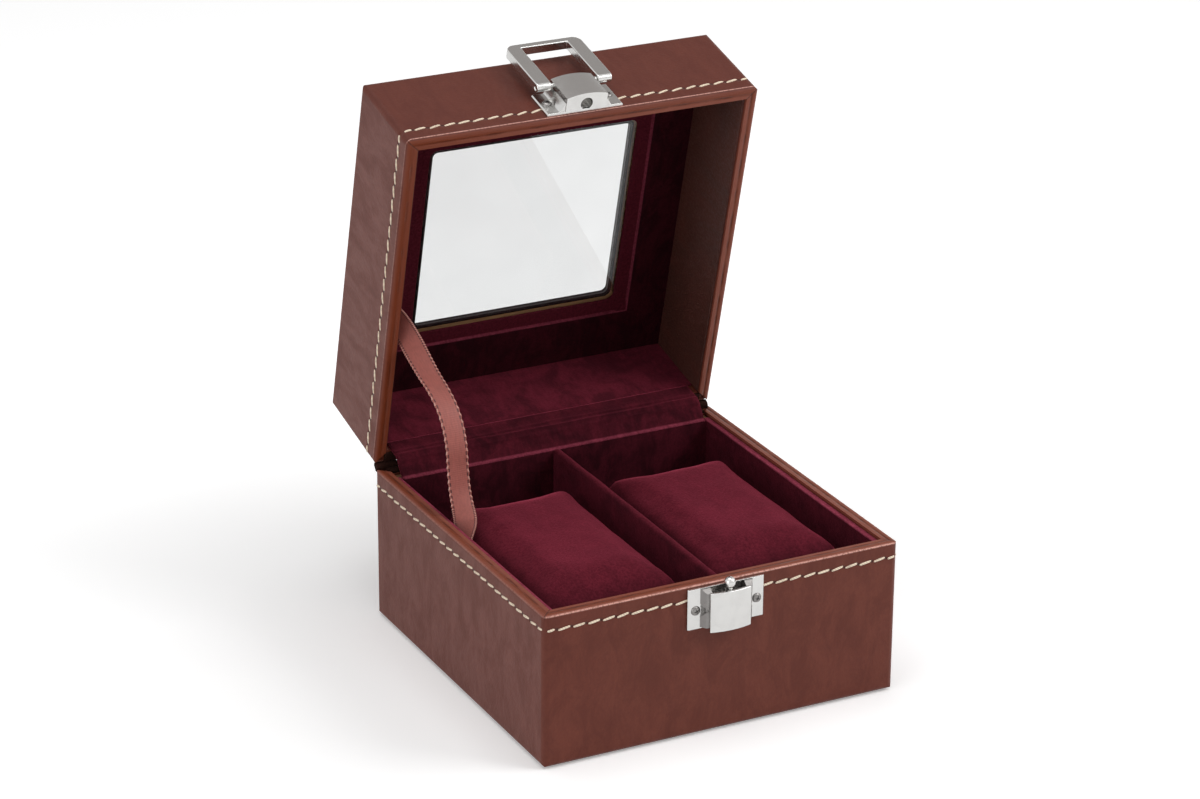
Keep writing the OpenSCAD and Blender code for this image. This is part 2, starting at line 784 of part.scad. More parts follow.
module hasp_loop() {
    leg = (loop_w - loop_gap) / 2;
    color("silver") opened() difference() {
        union() {
            translate([0, -case_d / 2 - loop_off + loop_t / 2, lid_z + loop_pin_z])
                rotate([90, 0, 0]) linear_extrude(loop_t) loop_front();
            for (x = [-1, 1]) translate([x * (loop_w - leg) / 2, 0, 0]) on_loop_pin()
                cylinder(h = leg, r = loop_t / 2, center = true);
        }
        on_loop_pin() cylinder(h = loop_w + 2, r = loop_pin_r, center = true);
    }
}

module catch_plate() {
    color("silver") difference() {
        clasp_plate(catch_plate_z, catch_plate_h);
        plate_screws(catch_screw_z);
    }
}

// Pin across the catch body, also cut out of it as its bore
module pip_pin(l) {
    translate([0, -case_d / 2 - pip_off, catch_screw_z]) rotate([0, 90, 0])
        cylinder(h = l, r = pip_r, center = true);
}

// Stud: ball, neck and foot on one axis
module catch_stud() {
    color("gainsboro") translate([0, -case_d / 2 - stud_off, 0]) {
        translate([0, 0, ball_z]) sphere(ball_r);
        translate([0, 0, pocket_z - stud_foot])
            cylinder(h = ball_z - pocket_z + stud_foot, r = neck_r);
    }
}

// The round that the catch cover's inner face follows
module behind_cover() {
    translate([0, cover_h - crown_r]) circle(crown_r - cover_t);
}

// Catch body: cheeks that slope in from the plate to the cover, with a bevelled top,
// scooped round the screws and pocketed round the stud
module catch_body() {
    color("gray") difference() {
        on_front(catch_body_z, catch_body_top) intersection() {
            polygon([[-cheek_foot, plate_t], [cheek_foot, plate_t], [block_w / 2, cheek_h],
                [block_w / 2, cover_h], [-block_w / 2, cover_h], [-block_w / 2, cheek_h]]);
            behind_cover();
        }
        scoops(catch_screw_z);
        on_front(pocket_z, base_h)
            translate([-pocket_w / 2, plate_t]) square([pocket_w, crown_h]);
        translate([0, -case_d / 2 - plate_t - catch_land, catch_body_top])
            rotate([catch_bevel, 0, 0]) between([-plate_w, -big, 0], [plate_w, big, big]);
        translate([0, -case_d / 2 - stud_off, pocket_z - stud_foot])
            cylinder(h = base_h, r = neck_r);
        pip_pin(3 * cheek_foot);
    }
}

module catch_pips() {
    color("dimgray") pip_pin(pip_l);
}

// Catch cover: a curved shield in front of the body, longer than it at both ends
module catch_cover() {
    color("gainsboro") on_front(cover_z, cover_z + cover_l) difference() {
        crowned(block_w, cover_h);
        behind_cover();
    }
}

module catch_screws() {
    color("gray") plate_screws(catch_screw_z);
}

base_board();
base_leather();
base_sole();
base_liner();
hinge_batten();
divider();
pillow_sleeve(-1);  // pillow_left_sleeve
pillow_foam(-1);  // pillow_left_foam
pillow_sleeve(1);  // pillow_right_sleeve
pillow_foam(1);  // pillow_right_foam
base_hinge_leaf();
base_hinge_screws();
lid_hinge_leaf();
lid_hinge_screws();
hinge_pin();
hinge_flap();
stay_ribbon();
lid_board();
lid_leather();
lid_wall_lining();
lid_back_lining();
window_surround();
window_glass();
window_bead();
hasp_plate();
hasp_block();
hasp_screws();
hasp_pin();
hasp_loop();
catch_plate();
catch_body();
catch_cover();
catch_pips();
catch_stud();
catch_screws();
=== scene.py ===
"""Looks of a leather travel case for two watches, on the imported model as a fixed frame."""

import math
import random

import bmesh
import bpy
from bpy.props import FloatProperty, FloatVectorProperty, IntProperty, PointerProperty
from mathutils import Matrix, Vector, noise


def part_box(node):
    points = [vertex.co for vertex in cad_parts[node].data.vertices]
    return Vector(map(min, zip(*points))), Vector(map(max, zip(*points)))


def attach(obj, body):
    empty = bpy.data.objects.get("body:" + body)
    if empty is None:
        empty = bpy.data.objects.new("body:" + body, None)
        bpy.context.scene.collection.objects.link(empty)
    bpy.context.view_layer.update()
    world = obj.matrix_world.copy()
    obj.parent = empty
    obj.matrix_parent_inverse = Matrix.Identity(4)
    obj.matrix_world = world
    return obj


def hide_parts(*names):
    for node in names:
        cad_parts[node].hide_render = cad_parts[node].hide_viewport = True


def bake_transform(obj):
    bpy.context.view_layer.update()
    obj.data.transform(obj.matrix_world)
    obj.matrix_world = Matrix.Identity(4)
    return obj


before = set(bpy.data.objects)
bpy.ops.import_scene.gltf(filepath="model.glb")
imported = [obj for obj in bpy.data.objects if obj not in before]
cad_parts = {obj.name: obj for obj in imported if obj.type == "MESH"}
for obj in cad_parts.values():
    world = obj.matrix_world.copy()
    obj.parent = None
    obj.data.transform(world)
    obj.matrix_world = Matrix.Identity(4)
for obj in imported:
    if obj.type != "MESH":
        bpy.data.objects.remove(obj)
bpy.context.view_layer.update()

bl_info = {
    "name": "Watch travel case",
    "version": (1, 0, 0),
    "blender": (4, 5, 0),
    "location": "View3D > Sidebar > Watch case",
    "description": "Leather, velvet, thread and metal for the watch travel case",
    "category": "Object",
}

MM = 0.001
UP = Vector((0, 0, 1))

# Lines of the frame that several pieces share, in millimetres
BASE_LOW, BASE_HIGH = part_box("base_leather")
HALF_WIDTH = BASE_HIGH.x / MM
BASE_RIM = BASE_HIGH.z / MM
LID_RIM = BASE_RIM + 0.5
HINGE = Vector((0, 65.9, 54.65))
LID_OPEN = math.radians(76)

# From one loop of the ribbon's picot edge to the next
PICOT = 1.1

# The window's half width and half depth, and how far the step in its frame lies outside them
WINDOW_STEP = (38.2, 36.0, 6.6)

# Painted shade: dark felt and a cord fill this gap, standing in for the shaded leather there
# The back wall's gap beside the hinge: the side walls' inner faces, the ends of the felt in the
# corners and behind, the felt's height and its distance from the hinge line, and the cord
GAP_SIDE, GAP_CORNER, GAP_BACK = 61.0, 64.4, 66.0
FELT_TALL, FELT_AWAY = 0.98, 0.81
CORD_END, CORD_RADIUS = 64.2, 1.25

# The clasp's screws: rings (radius, height) of the domed head, and its cross recess
HEAD_RINGS = ((1.6, -0.6), (1.6, 0.12), (1.5, 0.32), (1.25, 0.5), (0.95, 0.62))
CROSS_REACH, CROSS_HALF = 0.74, 0.2
CROSS_LEVELS = ((0.66, 1.0), (0.2, 0.82))

# The hinge flap's middle line (y, z): on the tray, over the hinge, and on the shut lid
FLAP_LOW = ((55.9, 53.0), (56.8, 53.05), (59.2, 56.1), (61.4, 58.8), (64.2, 59.7))
FLAP_HIGH = ((60.6, 56.2), (60.6, 60.0))
FLAP_CREASES = ((0.42, 0.2), (0.56, 0.26), (0.68, 0.16))

# The photograph's camera: azimuth, elevation and roll in degrees, then its distance, how far it
# is moved left and up, and its lens
VIEW_ANGLES = (-27.251, 22.53, 0.414)
VIEW_BACK, VIEW_LEFT, VIEW_UP, VIEW_LENS = 1340.902, 10.828, 85.395, 118.19


def srgb(red, green, blue):
    """A colour given in 0 to 255 steps of the screen, as Blender's linear colour."""
    def linear(value):
        value /= 255
        return value / 12.92 if value <= 0.04045 else ((value + 0.055) / 1.055) ** 2.4
    return linear(red), linear(green), linear(blue)


def colour(label, description, red, green, blue):
    """A colour property for the sidebar."""
    return FloatVectorProperty(name=label, description=description, subtype="COLOR",
                               default=srgb(red, green, blue), min=0, max=1)


def length(label, description, default, low, high):
    """A length property for the sidebar, in metres."""
    return FloatProperty(name=label, description=description, default=default,
                         min=low, max=high, unit="LENGTH", precision=4)


def share(label, description, default, low=0.0, high=1.0):
    """A plain number property for the sidebar."""
    return FloatProperty(name=label, description=description, default=default, min=low, max=high)


class CaseColours(bpy.types.PropertyGroup):
    """Colours of the case's materials"""
    leather: colour("Leather", "Middle brown of the leather", 112, 54, 40)
    leather_dark: colour("Leather, dark", "Darker patches of the leather", 94, 43, 32)
    leather_rim: colour("Leather rim", "Lighter leather on top of the rims", 140, 76, 58)
    leather_edge: colour("Leather edge", "Worn orange-brown along creases", 112, 48, 20)
    # Painted highlight: the rims' rolled edge is painted light where it catches the light
    leather_bead: colour("Leather bead", "Light line along the rims", 234, 176, 162)
    lining: colour("Lining leather", "Dark leather lining in the lid", 66, 33, 24)
    thread: colour("Thread", "Waxed stitching thread", 255, 236, 210)
    velvet: colour("Velvet", "Wine red of the velvet", 84, 24, 36)
    velvet_dark: colour("Velvet, dark", "Velvet where its nap lies away", 50, 13, 21)
    # Painted highlight: velvet painted lighter along the tops of the divider and the pillows
    velvet_light: colour("Velvet, light", "Velvet brushed towards the light", 104, 31, 45)
    # Painted highlight along the velvet's lit edges
    velvet_crest: colour("Velvet crest", "Light line along the velvet's edges", 162, 70, 90)
    velvet_bloom: colour("Velvet bloom", "Light on the tips of the nap", 226, 92, 118)
    ribbon: colour("Ribbon", "Satin of the stay ribbon", 168, 92, 82)
    ribbon_edge: colour("Ribbon edge", "Picot thread along the ribbon", 78, 36, 34)
    chrome: colour("Chrome", "Plating of the clasp", 205, 204, 202)
    # Painted reflection: plating painted darker, standing for dark surroundings that the catch and
    # screws reflect
    chrome_dull: colour("Chrome, dull", "Plating that is less polished", 132, 129, 127)
    # Painted shade: the dark cord and felt stand in for the shade in the gap beside the hinge
    cord: colour("Cord", "Cord and felt that close the gap beside the hinge", 50, 27, 21)
    steel: colour("Hinge steel", "Plating of the hinge", 186, 182, 174)
    glass: colour("Glass", "Tint of the pane", 225, 226, 226)


class CaseStitches(bpy.types.PropertyGroup):
    """Saddle stitching"""
    pitch: length("Pitch", "From one stitch to the next", 0.00525, 0.003, 0.009)
    long: length("Stitch length", "Visible length of a stitch", 0.0045, 0.002, 0.006)
    wide: length("Thread width", "Width of the flattened thread", 0.00085, 0.0004, 0.0012)
    base_row: length("Row on the base", "Distance from the base's rim", 0.0052, 0.003, 0.01)
    lid_row: length("Row on the lid", "Distance from the lid's rim", 0.0061, 0.003, 0.01)
    slant: FloatProperty(name="Slant", description="Tilt of each stitch to its row",
                         default=math.radians(9), min=0, max=0.6, subtype="ANGLE")
    seed: IntProperty(name="Seed", description="Seed of the small unevenness", default=7, min=0)


class CasePillows(bpy.types.PropertyGroup):
    """Pillows blown up by simulation"""
    voxel: length("Mesh size", "Size of the remeshed faces", 0.0021, 0.0015, 0.004)
    swell: length("Swell", "Farthest that a point may move", 0.0014, 0.0, 0.004)
    pressure: share("Pressure", "Air pressure in the simulation", 4.0, 0.0, 10.0)
    fill: share("Fill", "From slack to tight", 0.85)
    dent: length("Dents", "Depth of the soft dents", 0.0003, 0.0, 0.002)


class CaseStage(bpy.types.PropertyGroup):
    """Lamps and world"""
    key: share("Key lamp", "Power of the soft lamp to the right", 6.0, 0, 40)
    top: share("Top lamp", "Power of the overhead lamp", 4.6, 0, 40)
    fill: share("Left lamp", "Power of the soft lamp to the left", 2.6, 0, 40)
    ambient: share("Ambient", "Strength of the even light from all round", 0.3, 0, 1)


# Node trees

class Value:
    """A socket in a node tree; its sums, products and absolute values add Math nodes."""

    def __init__(self, build, socket):
        self.build, self.socket = build, socket

    def __abs__(self):
        return self.build.math("ABSOLUTE", self)

    def joined(operation, swap=False):
        def method(self, other):
            pair = (other, self) if swap else (self, other)
            return self.build.math(operation, *pair)
        return method

    __add__, __radd__ = joined("ADD"), joined("ADD", True)
    __sub__, __rsub__ = joined("SUBTRACT"), joined("SUBTRACT", True)
    __mul__, __rmul__ = joined("MULTIPLY"), joined("MULTIPLY", True)
    __truediv__, __rtruediv__ = joined("DIVIDE"), joined("DIVIDE", True)


class Tree:
    """A node tree being built: adds nodes and joins them in one call."""

    def __init__(self, tree):
        self.tree = tree

    def put(self, socket, value):
        if isinstance(value, Value):
            self.tree.links.new(value.socket, socket)
            return
        if hasattr(socket.default_value, "__len__") and len(socket.default_value) == 4 \
                and len(value) == 3:
            value = (*value, 1)
        socket.default_value = value

    def node(self, kind, inputs=None, **settings):
        """Adds a node and returns its outputs by place and by name."""
        made = self.tree.nodes.new("ShaderNode" + kind)
        for name, value in settings.items():
            setattr(made, name, value)
        for name, value in (inputs or {}).items():
            self.put(made.inputs[name], value)
        outputs = [Value(self, socket) for socket in made.outputs]
        return {**dict(enumerate(outputs)), **{v.socket.name: v for v in outputs}}

    def math(self, operation, *values):
        return self.node("Math", dict(enumerate(values)), operation=operation)[0]

    def mix(self, factor, a, b):
        return self.node("Mix", {0: factor, 6: a, 7: b}, data_type="RGBA")[2]

    def layers(self, tone, *coats):
        """A colour with others laid over it in turn, each given as (mask, colour)."""
        for mask, coat in coats:
            tone = self.mix(mask, tone, coat)
        return tone

    def spread(self, value, low, high, to_low=0.0, to_high=1.0):
        return self.node("MapRange", {"Value": value, "From Min": low, "From Max": high,
                                      "To Min": to_low, "To Max": to_high},
                         interpolation_type="SMOOTHSTEP")["Result"]

    def near(self, value, middle, reach):
        """1 where value is at middle, falling to 0 at reach from it."""
        return self.spread(abs(value - middle), 0.0, reach, 1.0, 0.0)

    def wave(self, value, period):
        return self.math("SINE", value * (2 * math.pi / period))

    def noise(self, place, size, detail=3.0, roughness=0.5, distortion=0.0):
        return self.node("TexNoise", {"Vector": place, "Scale": 1.0 / size, "Detail": detail,
                                      "Roughness": roughness, "Distortion": distortion})["Fac"]

    def stretched(self, place, scale, turn=(0, 0, 0)):
        return self.node("Mapping", {"Vector": place, "Scale": scale, "Rotation": turn})["Vector"]

    def axes(self, vector):
        outputs = self.node("SeparateXYZ", {"Vector": vector})
        return outputs["X"], outputs["Y"], outputs["Z"]

    def place(self, on_lid=False):
        """Object coordinates in millimetres; on the lid, those of the lid when it is shut."""
        turned = {"Vector": self.node("TexCoord")["Object"], "Scale": (1000, 1000, 1000)}
        if on_lid:
            turned["Rotation"] = (LID_OPEN, 0, 0)
            turned["Location"] = HINGE - Matrix.Rotation(LID_OPEN, 3, "X") @ HINGE
        return self.node("Mapping", turned)["Vector"]

    def seen(self):
        """1 for rays that meet the surface from the camera, a reflection or the pane."""
        rays = self.node("LightPath")
        return self.math("MAXIMUM", rays["Is Camera Ray"], self.math(
            "MAXIMUM", rays["Is Glossy Ray"], rays["Is Transmission Ray"]))


class Surface(Tree):
    """A new material: a Principled shader and the tree that feeds it."""

    def __init__(self, name):
        self.made = bpy.data.materials.new(name)
        self.made.use_nodes = True
        self.made.node_tree.nodes.clear()
        super().__init__(self.made.node_tree)
        self.colours = bpy.context.scene.case_colours
        self.shader = self.tree.nodes.new("ShaderNodeBsdfPrincipled")
        out = self.tree.nodes.new("ShaderNodeOutputMaterial")
        self.tree.links.new(self.shader.outputs["BSDF"], out.inputs["Surface"])

    def finish(self, tone, rough, height=None, distance=0.0, more=None, strength=1.0):
        """Feeds the shader, with a bump where there is a height, and returns the material."""
        inputs = {"Base Color": tone, "Roughness": rough, **(more or {})}
        if height:
            inputs["Normal"] = self.node("Bump", {
                "Height": height, "Distance": distance, "Strength": strength})["Normal"]
        for name, value in inputs.items():
            self.put(self.shader.inputs[name], value)
        return self.made


def once(maker):
    """A function that gives a material by its name and makes it only the first time."""
    def get(name, *words):
        return bpy.data.materials.get(name) or maker(Surface(name), *words)
    return get


def shared_group(**defaults):
    """Makes a function into a node group, built the first time that it is asked for. The
    function gets a Tree and the group's inputs, and returns its outputs. An input's name has
    its underscores as blanks, and its default is None where it is a place."""
    def wrap(maker):
        def get():
            if maker.__name__ in bpy.data.node_groups:
                return bpy.data.node_groups[maker.__name__]
            tree = bpy.data.node_groups.new(maker.__name__, "ShaderNodeTree")
            for label, default in defaults.items():
                kind = "NodeSocketVector" if default is None else "NodeSocketFloat"
                socket = tree.interface.new_socket(label.replace("_", " "), in_out="INPUT",
                                                   socket_type=kind)
                if default is not None:
                    socket.default_value = default
            build = Tree(tree)
            sockets = tree.nodes.new("NodeGroupInput").outputs
            outputs = maker(build, *(Value(build, s) for s, _ in zip(sockets, defaults)))
            for label in outputs:
                tree.interface.new_socket(label, in_out="OUTPUT", socket_type="NodeSocketFloat")
            last = tree.nodes.new("NodeGroupOutput")
            for label, value in outputs.items():
                build.put(last.inputs[label], value)
            return tree
        return get
    return wrap


@shared_group(Place=None, Cell=0.8, Patch=26.0)
def leather_grain(build, place, cell, patch):
    """Pebbled grain, broad mottling and fine pores of smooth leather."""
    mottle = build.noise(build.stretched(place, (1, 1, 0.5)), patch, 7.0, 0.72, 0.5)
    cells = build.node("TexVoronoi", {"Vector": place, "Scale": 1.0 / cell, "Smoothness": 0.6},
                       feature="SMOOTH_F1")["Distance"]
    pores = build.noise(build.stretched(place, (1, 1, 0.6)), 0.8, 3.0, 0.7)
    folds = build.noise(build.stretched(place, (0.5, 1.3, 0.8), (0, 0, 0.6)), 3.2, 4.0, 0.6, 1.5)
    return {"Mottle": build.spread(mottle, 0.3, 0.7), "Pores": build.spread(pores, 0.35, 0.62),
            "Height": cells * 0.6 + pores * 0.25 + folds * 0.8}


@shared_group(Place=None, Rim=54.4, Way=1.0, Half_width=65.0, Bead_depth=1.0, Row_depth=6.4,
              Pitch=5.5)
def rim_marks(build, place, rim, way, half_width, bead_depth, row_depth, pitch):
    """Masks along a rim: bead, groove, inner band, stitch holes, mitres and the rim's own face.
    The bead's mask is full on the front wall and fainter elsewhere, for its painted highlight.
    """
    along, back, up = build.axes(place)
    x, y = abs(along), abs(back)
    ring = half_width - build.math("MAXIMUM", x, y)
    depth = (rim - up) * way
    wall = build.spread(ring, 0.5, 0.9, 1.0, 0.0)
    face = build.spread(depth, 0.6, 1.3, 1.0, 0.0) * build.spread(ring, 0.15, 0.5)
    ripple = build.noise(build.stretched(place, (1, 1, 0.2)), 0.5, 1.0)
    # Weight of the bead's painted highlight: full on the front wall, fainter on the sides and back
    front_painted_light = build.spread(back + x, -1.0, 1.0, 1.0, 0.22)
    bead = build.near(depth - bead_depth, 0.0, 0.42) * (wall * front_painted_light)
    # The groove is painted darker, patchily along its length
    patchy = build.spread(build.noise(place, 8.0, 3.0), 0.38, 0.62, 0.3, 1.0)
    sideways = (build.math("FRACT", build.math("MINIMUM", x, y) / pitch) - 0.5) * pitch
    row = depth - row_depth
    apart = build.math("SQRT", sideways * sideways + row * row)
    mitre = build.near(x - y, 0.0, 0.3)
    return {"Bead": bead * build.spread(ripple, 0.34, 0.56, 0.45, 1.0),
            "Groove": build.near(ring, 2.4, 0.7) * face * patchy,
            "Band": build.near(ring, 1.8, 1.1) * face,
            "Holes": build.spread(apart, 0.2, 0.7, 1.0, 0.0) * wall,
            "Seam": build.near(row, 0.0, 1.3) * wall,
            "Mitre": mitre * build.spread(depth, 1.0, 1.6, 1.0, 0.0),
            "Face": face}


@shared_group(Place=None, Patch=13.0)
def velvet_nap(build, place, patch):
    """Brushed patches and short fibres of velvet."""
    broad = build.noise(build.stretched(place, (1, 0.7, 1), (0, 0, 0.5)), patch, 4.0, 0.55, 1.1)
    strokes = build.noise(build.stretched(place, (1, 0.28, 0.28), (0.3, 0, 0.4)), 1.3, 3.0, 0.6)
    fibres = build.noise(place, 0.9, 4.0, 0.75)
    return {"Patches": build.spread(broad * 0.72 + strokes * 0.28, 0.36, 0.64),
            "Fibres": build.spread(fibres, 0.3, 0.7),
            "Height": fibres * 0.7 + strokes * 0.5}


@shared_group(Place=None)
def handled_metal(build, place):
    """Faint smudges and hair-fine scratches of handled plating."""
    smudges = build.noise(place, 5.0, 4.0, 0.6, 0.4)
    hairs = build.noise(build.stretched(place, (0.12, 3.0, 3.0), (0.2, 0.5, 0.3)), 0.5, 2.0, 0.6)
    return {"Smudges": build.spread(smudges, 0.38, 0.68),
            "Scratches": build.spread(hairs, 0.55, 0.8)}


# Materials

def shaded(tone, factor):
    """A colour made darker or lighter."""
    return [factor * c for c in tone]


@once
def leather(build, on_lid=False):
    colours, stitches = build.colours, bpy.context.scene.case_stitches
    place = build.place(on_lid)
    grain = build.node("Group", {"Place": place, "Cell": 0.7, "Patch": 8.0},
                       node_tree=leather_grain())
    marks = build.node("Group", {
        "Place": place, "Rim": LID_RIM if on_lid else BASE_RIM, "Way": -1.0 if on_lid else 1.0,
        "Half width": HALF_WIDTH, "Bead depth": 1.1 if on_lid else 0.45,
        "Row depth": (stitches.lid_row if on_lid else stitches.base_row) / MM,
        "Pitch": stitches.pitch / MM}, node_tree=rim_marks())
    tone = build.layers(
        build.mix(grain["Mottle"], colours.leather_dark, colours.leather),
        (grain["Pores"] * 0.3, colours.leather_dark), (marks["Seam"] * 0.3, colours.leather_dark),
        (marks["Face"] * 0.75, colours.leather_rim), (marks["Band"] * 0.75, colours.leather_edge),
        (marks["Groove"] * 0.85, srgb(74, 30, 14)))
    if on_lid:
        x, y, _ = build.axes(place)
        # Painted shade: the lid's front face, which faces up with the lid open, is painted darker
        front_painted_light = build.spread(y, -63.5, -64.5) * 0.4
        warm = build.spread(x, -20.0, -60.0) * marks["Face"] * 0.6
        # Painted shade: the leather inside the window's opening is painted near-black
        window = build.spread(build.math("MAXIMUM", abs(x), abs(y)), 38.9, 38.5)
        tone = build.layers(tone, (front_painted_light, shaded(colours.leather_dark, 0.7)),
                            (warm, colours.leather_edge), (window, srgb(26, 16, 15)))
    tone = build.layers(tone, (marks["Mitre"] * 0.6, srgb(48, 20, 12)),
                        # Painted shade: the stitch holes are painted dark
                        (marks["Holes"] * 0.85, srgb(52, 24, 14)),
                        # The bead is painted light, a painted highlight on the rolled rim
                        (marks["Bead"], colours.leather_bead))
    height = grain["Height"] * 0.26 + marks["Bead"] * 0.9
    for mask, depth in (("Seam", 0.5), ("Holes", 0.9), ("Mitre", 1.2), ("Groove", 0.9)):
        height = height - marks[mask] * depth
    return build.finish(tone, build.spread(grain["Mottle"], 0.0, 1.0, 0.54, 0.44), height,
                        0.00025, {"Specular IOR Level": 0.24})


@once
def lining_leather(build):
    colours = build.colours
    grain = build.node("Group", {"Place": build.place(True), "Cell": 0.6, "Patch": 18.0},
                       node_tree=leather_grain())
    tone = build.mix(grain["Mottle"], colours.leather_dark, colours.lining)
    return build.finish(build.mix(0.55, tone, colours.lining),
                        build.spread(grain["Pores"], 0.0, 1.0, 0.5, 0.66), grain["Height"], 0.0001)


@once
def velvet(build, on_lid=False, painted_light_level=1.0, bloom=0.5, crest=None, window=None):
    """Velvet. Its tones are scaled for each piece: above 1 they are painted light, below 1 painted
    shade.
    crest is (height where it starts, height where it is full, colour, share) of a painted
    highlight along the top; window is (half width, half depth, setback) of a step round a
    window, inside which the velvet keeps its plain colour, with a painted highlight on the step."""
    colours = build.colours
    # Tones scaled for each piece: painted light above 1, painted shade below 1
    dark = shaded(colours.velvet_dark, painted_light_level)
    place = build.place(on_lid)
    nap = build.node("Group", {"Place": place, "Patch": 10.0}, node_tree=velvet_nap())
    tone = build.mix(nap["Patches"], dark, shaded(colours.velvet, painted_light_level))
    x, y, z = build.axes(place)
    # Painted highlight: the velvet is painted lighter along its top, where light falls
    if crest:
        low, high, light, most = crest
        where = build.spread(z, low, high) * build.spread(nap["Patches"], 0.0, 1.0, 0.75 * most,
                                                          most)
        tone = build.mix(where, tone, light)
    # Inside the step round the window the velvet keeps its plain colour, lighter than the piece's
    # painted shade, and the step's edge gets a painted highlight
    if window:
        half_width, half_depth, setback = window
        away = build.math("MAXIMUM", abs(x) - half_width, abs(y) - half_depth)
        tone = build.layers(
            tone, (build.spread(away, setback + 0.2, setback - 0.3), colours.velvet),
            (build.near(away, setback, 0.5) * 0.6, colours.velvet_crest))
    return build.finish(
        build.mix(nap["Fibres"] * 0.5, tone, dark),
        build.spread(nap["Fibres"], 0.0, 1.0, 0.8, 0.95), nap["Height"], 0.00022,
        {"Specular IOR Level": 0.05, "Sheen Weight": bloom, "Sheen Roughness": 0.4,
         "Sheen Tint": (*colours.velvet_bloom, 1)})


@once
def thread(build, on_lid=False):
    colours, place = build.colours, build.place(on_lid)
    twist = build.node("TexWave", {"Vector": build.stretched(place, (1, 1, 1), (0.6, 0.7, 0.6)),
                                   "Scale": 0.45, "Distortion": 0.6})["Fac"]
    wear = build.noise(place, 2.5, 2.0)
    tone = build.mix(build.spread(twist, 0.2, 0.8), shaded(colours.thread, 0.8), colours.thread)
    tone = build.mix(build.spread(wear, 0.5, 0.75, 0.0, 0.2), tone, colours.leather_edge)
    return build.finish(tone, build.spread(wear, 0.3, 0.7, 0.5, 0.7), twist, 0.00008)


@once
def satin(build):
    """Satin with picot edges; its UV map is the flat ribbon in millimetres."""
    colours = build.colours
    uv = build.node("TexCoord")["UV"]
    sideways, along, _ = build.axes(uv)
    across = abs(sideways - 4.0)
    ribs = build.wave(along, 0.32)
    ticks = build.spread(build.wave(along, PICOT), -0.3, 0.5)
    edge = build.spread(across, 3.0, 3.2)
    streaks = build.noise(build.stretched(uv, (1.0, 0.35, 1)), 0.7, 4.0, 0.7)
    tone = build.mix(build.spread(streaks, 0.35, 0.65), shaded(colours.ribbon, 0.8),
                     colours.ribbon)
    tone = build.mix(build.spread(ribs, -1.0, 1.0) * 0.12, tone, colours.ribbon_edge)
    tone = build.mix(edge, tone, build.mix(ticks, colours.ribbon_edge, tone))
    tone = build.mix(build.spread(across, 3.5, 3.7), tone,
                     build.mix(ticks, colours.ribbon, srgb(214, 158, 144)))
    return build.finish(tone, build.spread(streaks, 0.3, 0.7, 0.48, 0.6),
                        ribs * 0.12 + edge * ticks * 0.9, 0.00012,
                        {"Sheen Weight": 0.25, "Sheen Roughness": 0.3})


@once
def plated(build, shade="chrome", rough=0.16):
    marks = build.node("Group", {"Place": build.place()}, node_tree=handled_metal())
    tint = getattr(build.colours, shade)
    return build.finish(
        build.mix(marks["Smudges"] * 0.25, tint, shaded(tint, 0.8)),
        marks["Smudges"] * 0.08 + (marks["Scratches"] * 0.05 + rough), marks["Scratches"],
        0.00001, {"Metallic": 1.0}, strength=0.5)


@once
def wood(build, shade, on_lid=False):
    place = build.place(on_lid)
    rings = build.noise(build.stretched(place, (0.08, 1.0, 1.0)), 2.4, 4.0, 0.6, 1.2)
    pores = build.noise(build.stretched(place, (0.1, 2.0, 2.0)), 0.6, 2.0)
    tone = build.mix(build.spread(rings, 0.35, 0.65), shade, shaded(shade, 0.62))
    return build.finish(tone, build.spread(pores, 0.3, 0.7, 0.62, 0.8), pores, 0.0001)


@once
def foam(build):
    cells = build.node("TexVoronoi", {"Vector": build.place(), "Scale": 1.4})["Distance"]
    tone = build.mix(build.spread(cells, 0.1, 0.7), srgb(226, 208, 164), srgb(178, 152, 104))
    return build.finish(tone, build.spread(cells, 0.0, 0.8, 0.85, 0.95), cells, 0.0003)


@once
def panel_paper(build):
    fibres = build.noise(build.stretched(build.place(), (1, 0.4, 1), (0, 0, 0.4)), 1.2, 5.0, 0.7)
    tone = build.mix(build.spread(fibres, 0.35, 0.65), srgb(46, 34, 31), srgb(64, 48, 43))
    return build.finish(tone, build.spread(fibres, 0.3, 0.7, 0.72, 0.9), fibres, 0.00012)


@once
def dark_trim(build):
    speck = build.noise(build.place(True), 0.8, 3.0)
    tone = build.mix(build.spread(speck, 0.35, 0.65), srgb(34, 22, 22), srgb(24, 14, 15))
    return build.finish(tone, build.spread(speck, 0.3, 0.7, 0.38, 0.52))


# Painted shade: dark felt and cord for the gap beside the hinge
@once
def felt(build):
    cord = build.colours.cord
    speck = build.noise(build.place(), 0.5, 3.0)
    tone = build.mix(build.spread(speck, 0.35, 0.65), cord, shaded(cord, 0.6))
    return build.finish(tone, build.spread(speck, 0.3, 0.7, 0.85, 0.95),
                        more={"Specular IOR Level": 0.1})


@once
def pane_glass(build):
    haze, glass = build.noise(build.place(True), 30.0, 2.0), build.colours.glass
    return build.finish(build.mix(build.spread(haze, 0.3, 0.7), glass, shaded(glass, 0.97)),
                        build.spread(haze, 0.3, 0.7, 0.0, 0.012),
                        more={"Transmission Weight": 1.0, "IOR": 1.45})


# Shapes

def merged_copy(node):
    """A CAD node's shape as a bmesh, its triangles merged and its flat faces whole."""
    bm = bmesh.new()
    bm.from_mesh(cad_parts[node].data)
    bmesh.ops.remove_doubles(bm, verts=bm.verts, dist=2e-6)
    bmesh.ops.dissolve_limit(bm, angle_limit=math.radians(0.8), verts=bm.verts, edges=bm.edges)
    return bm


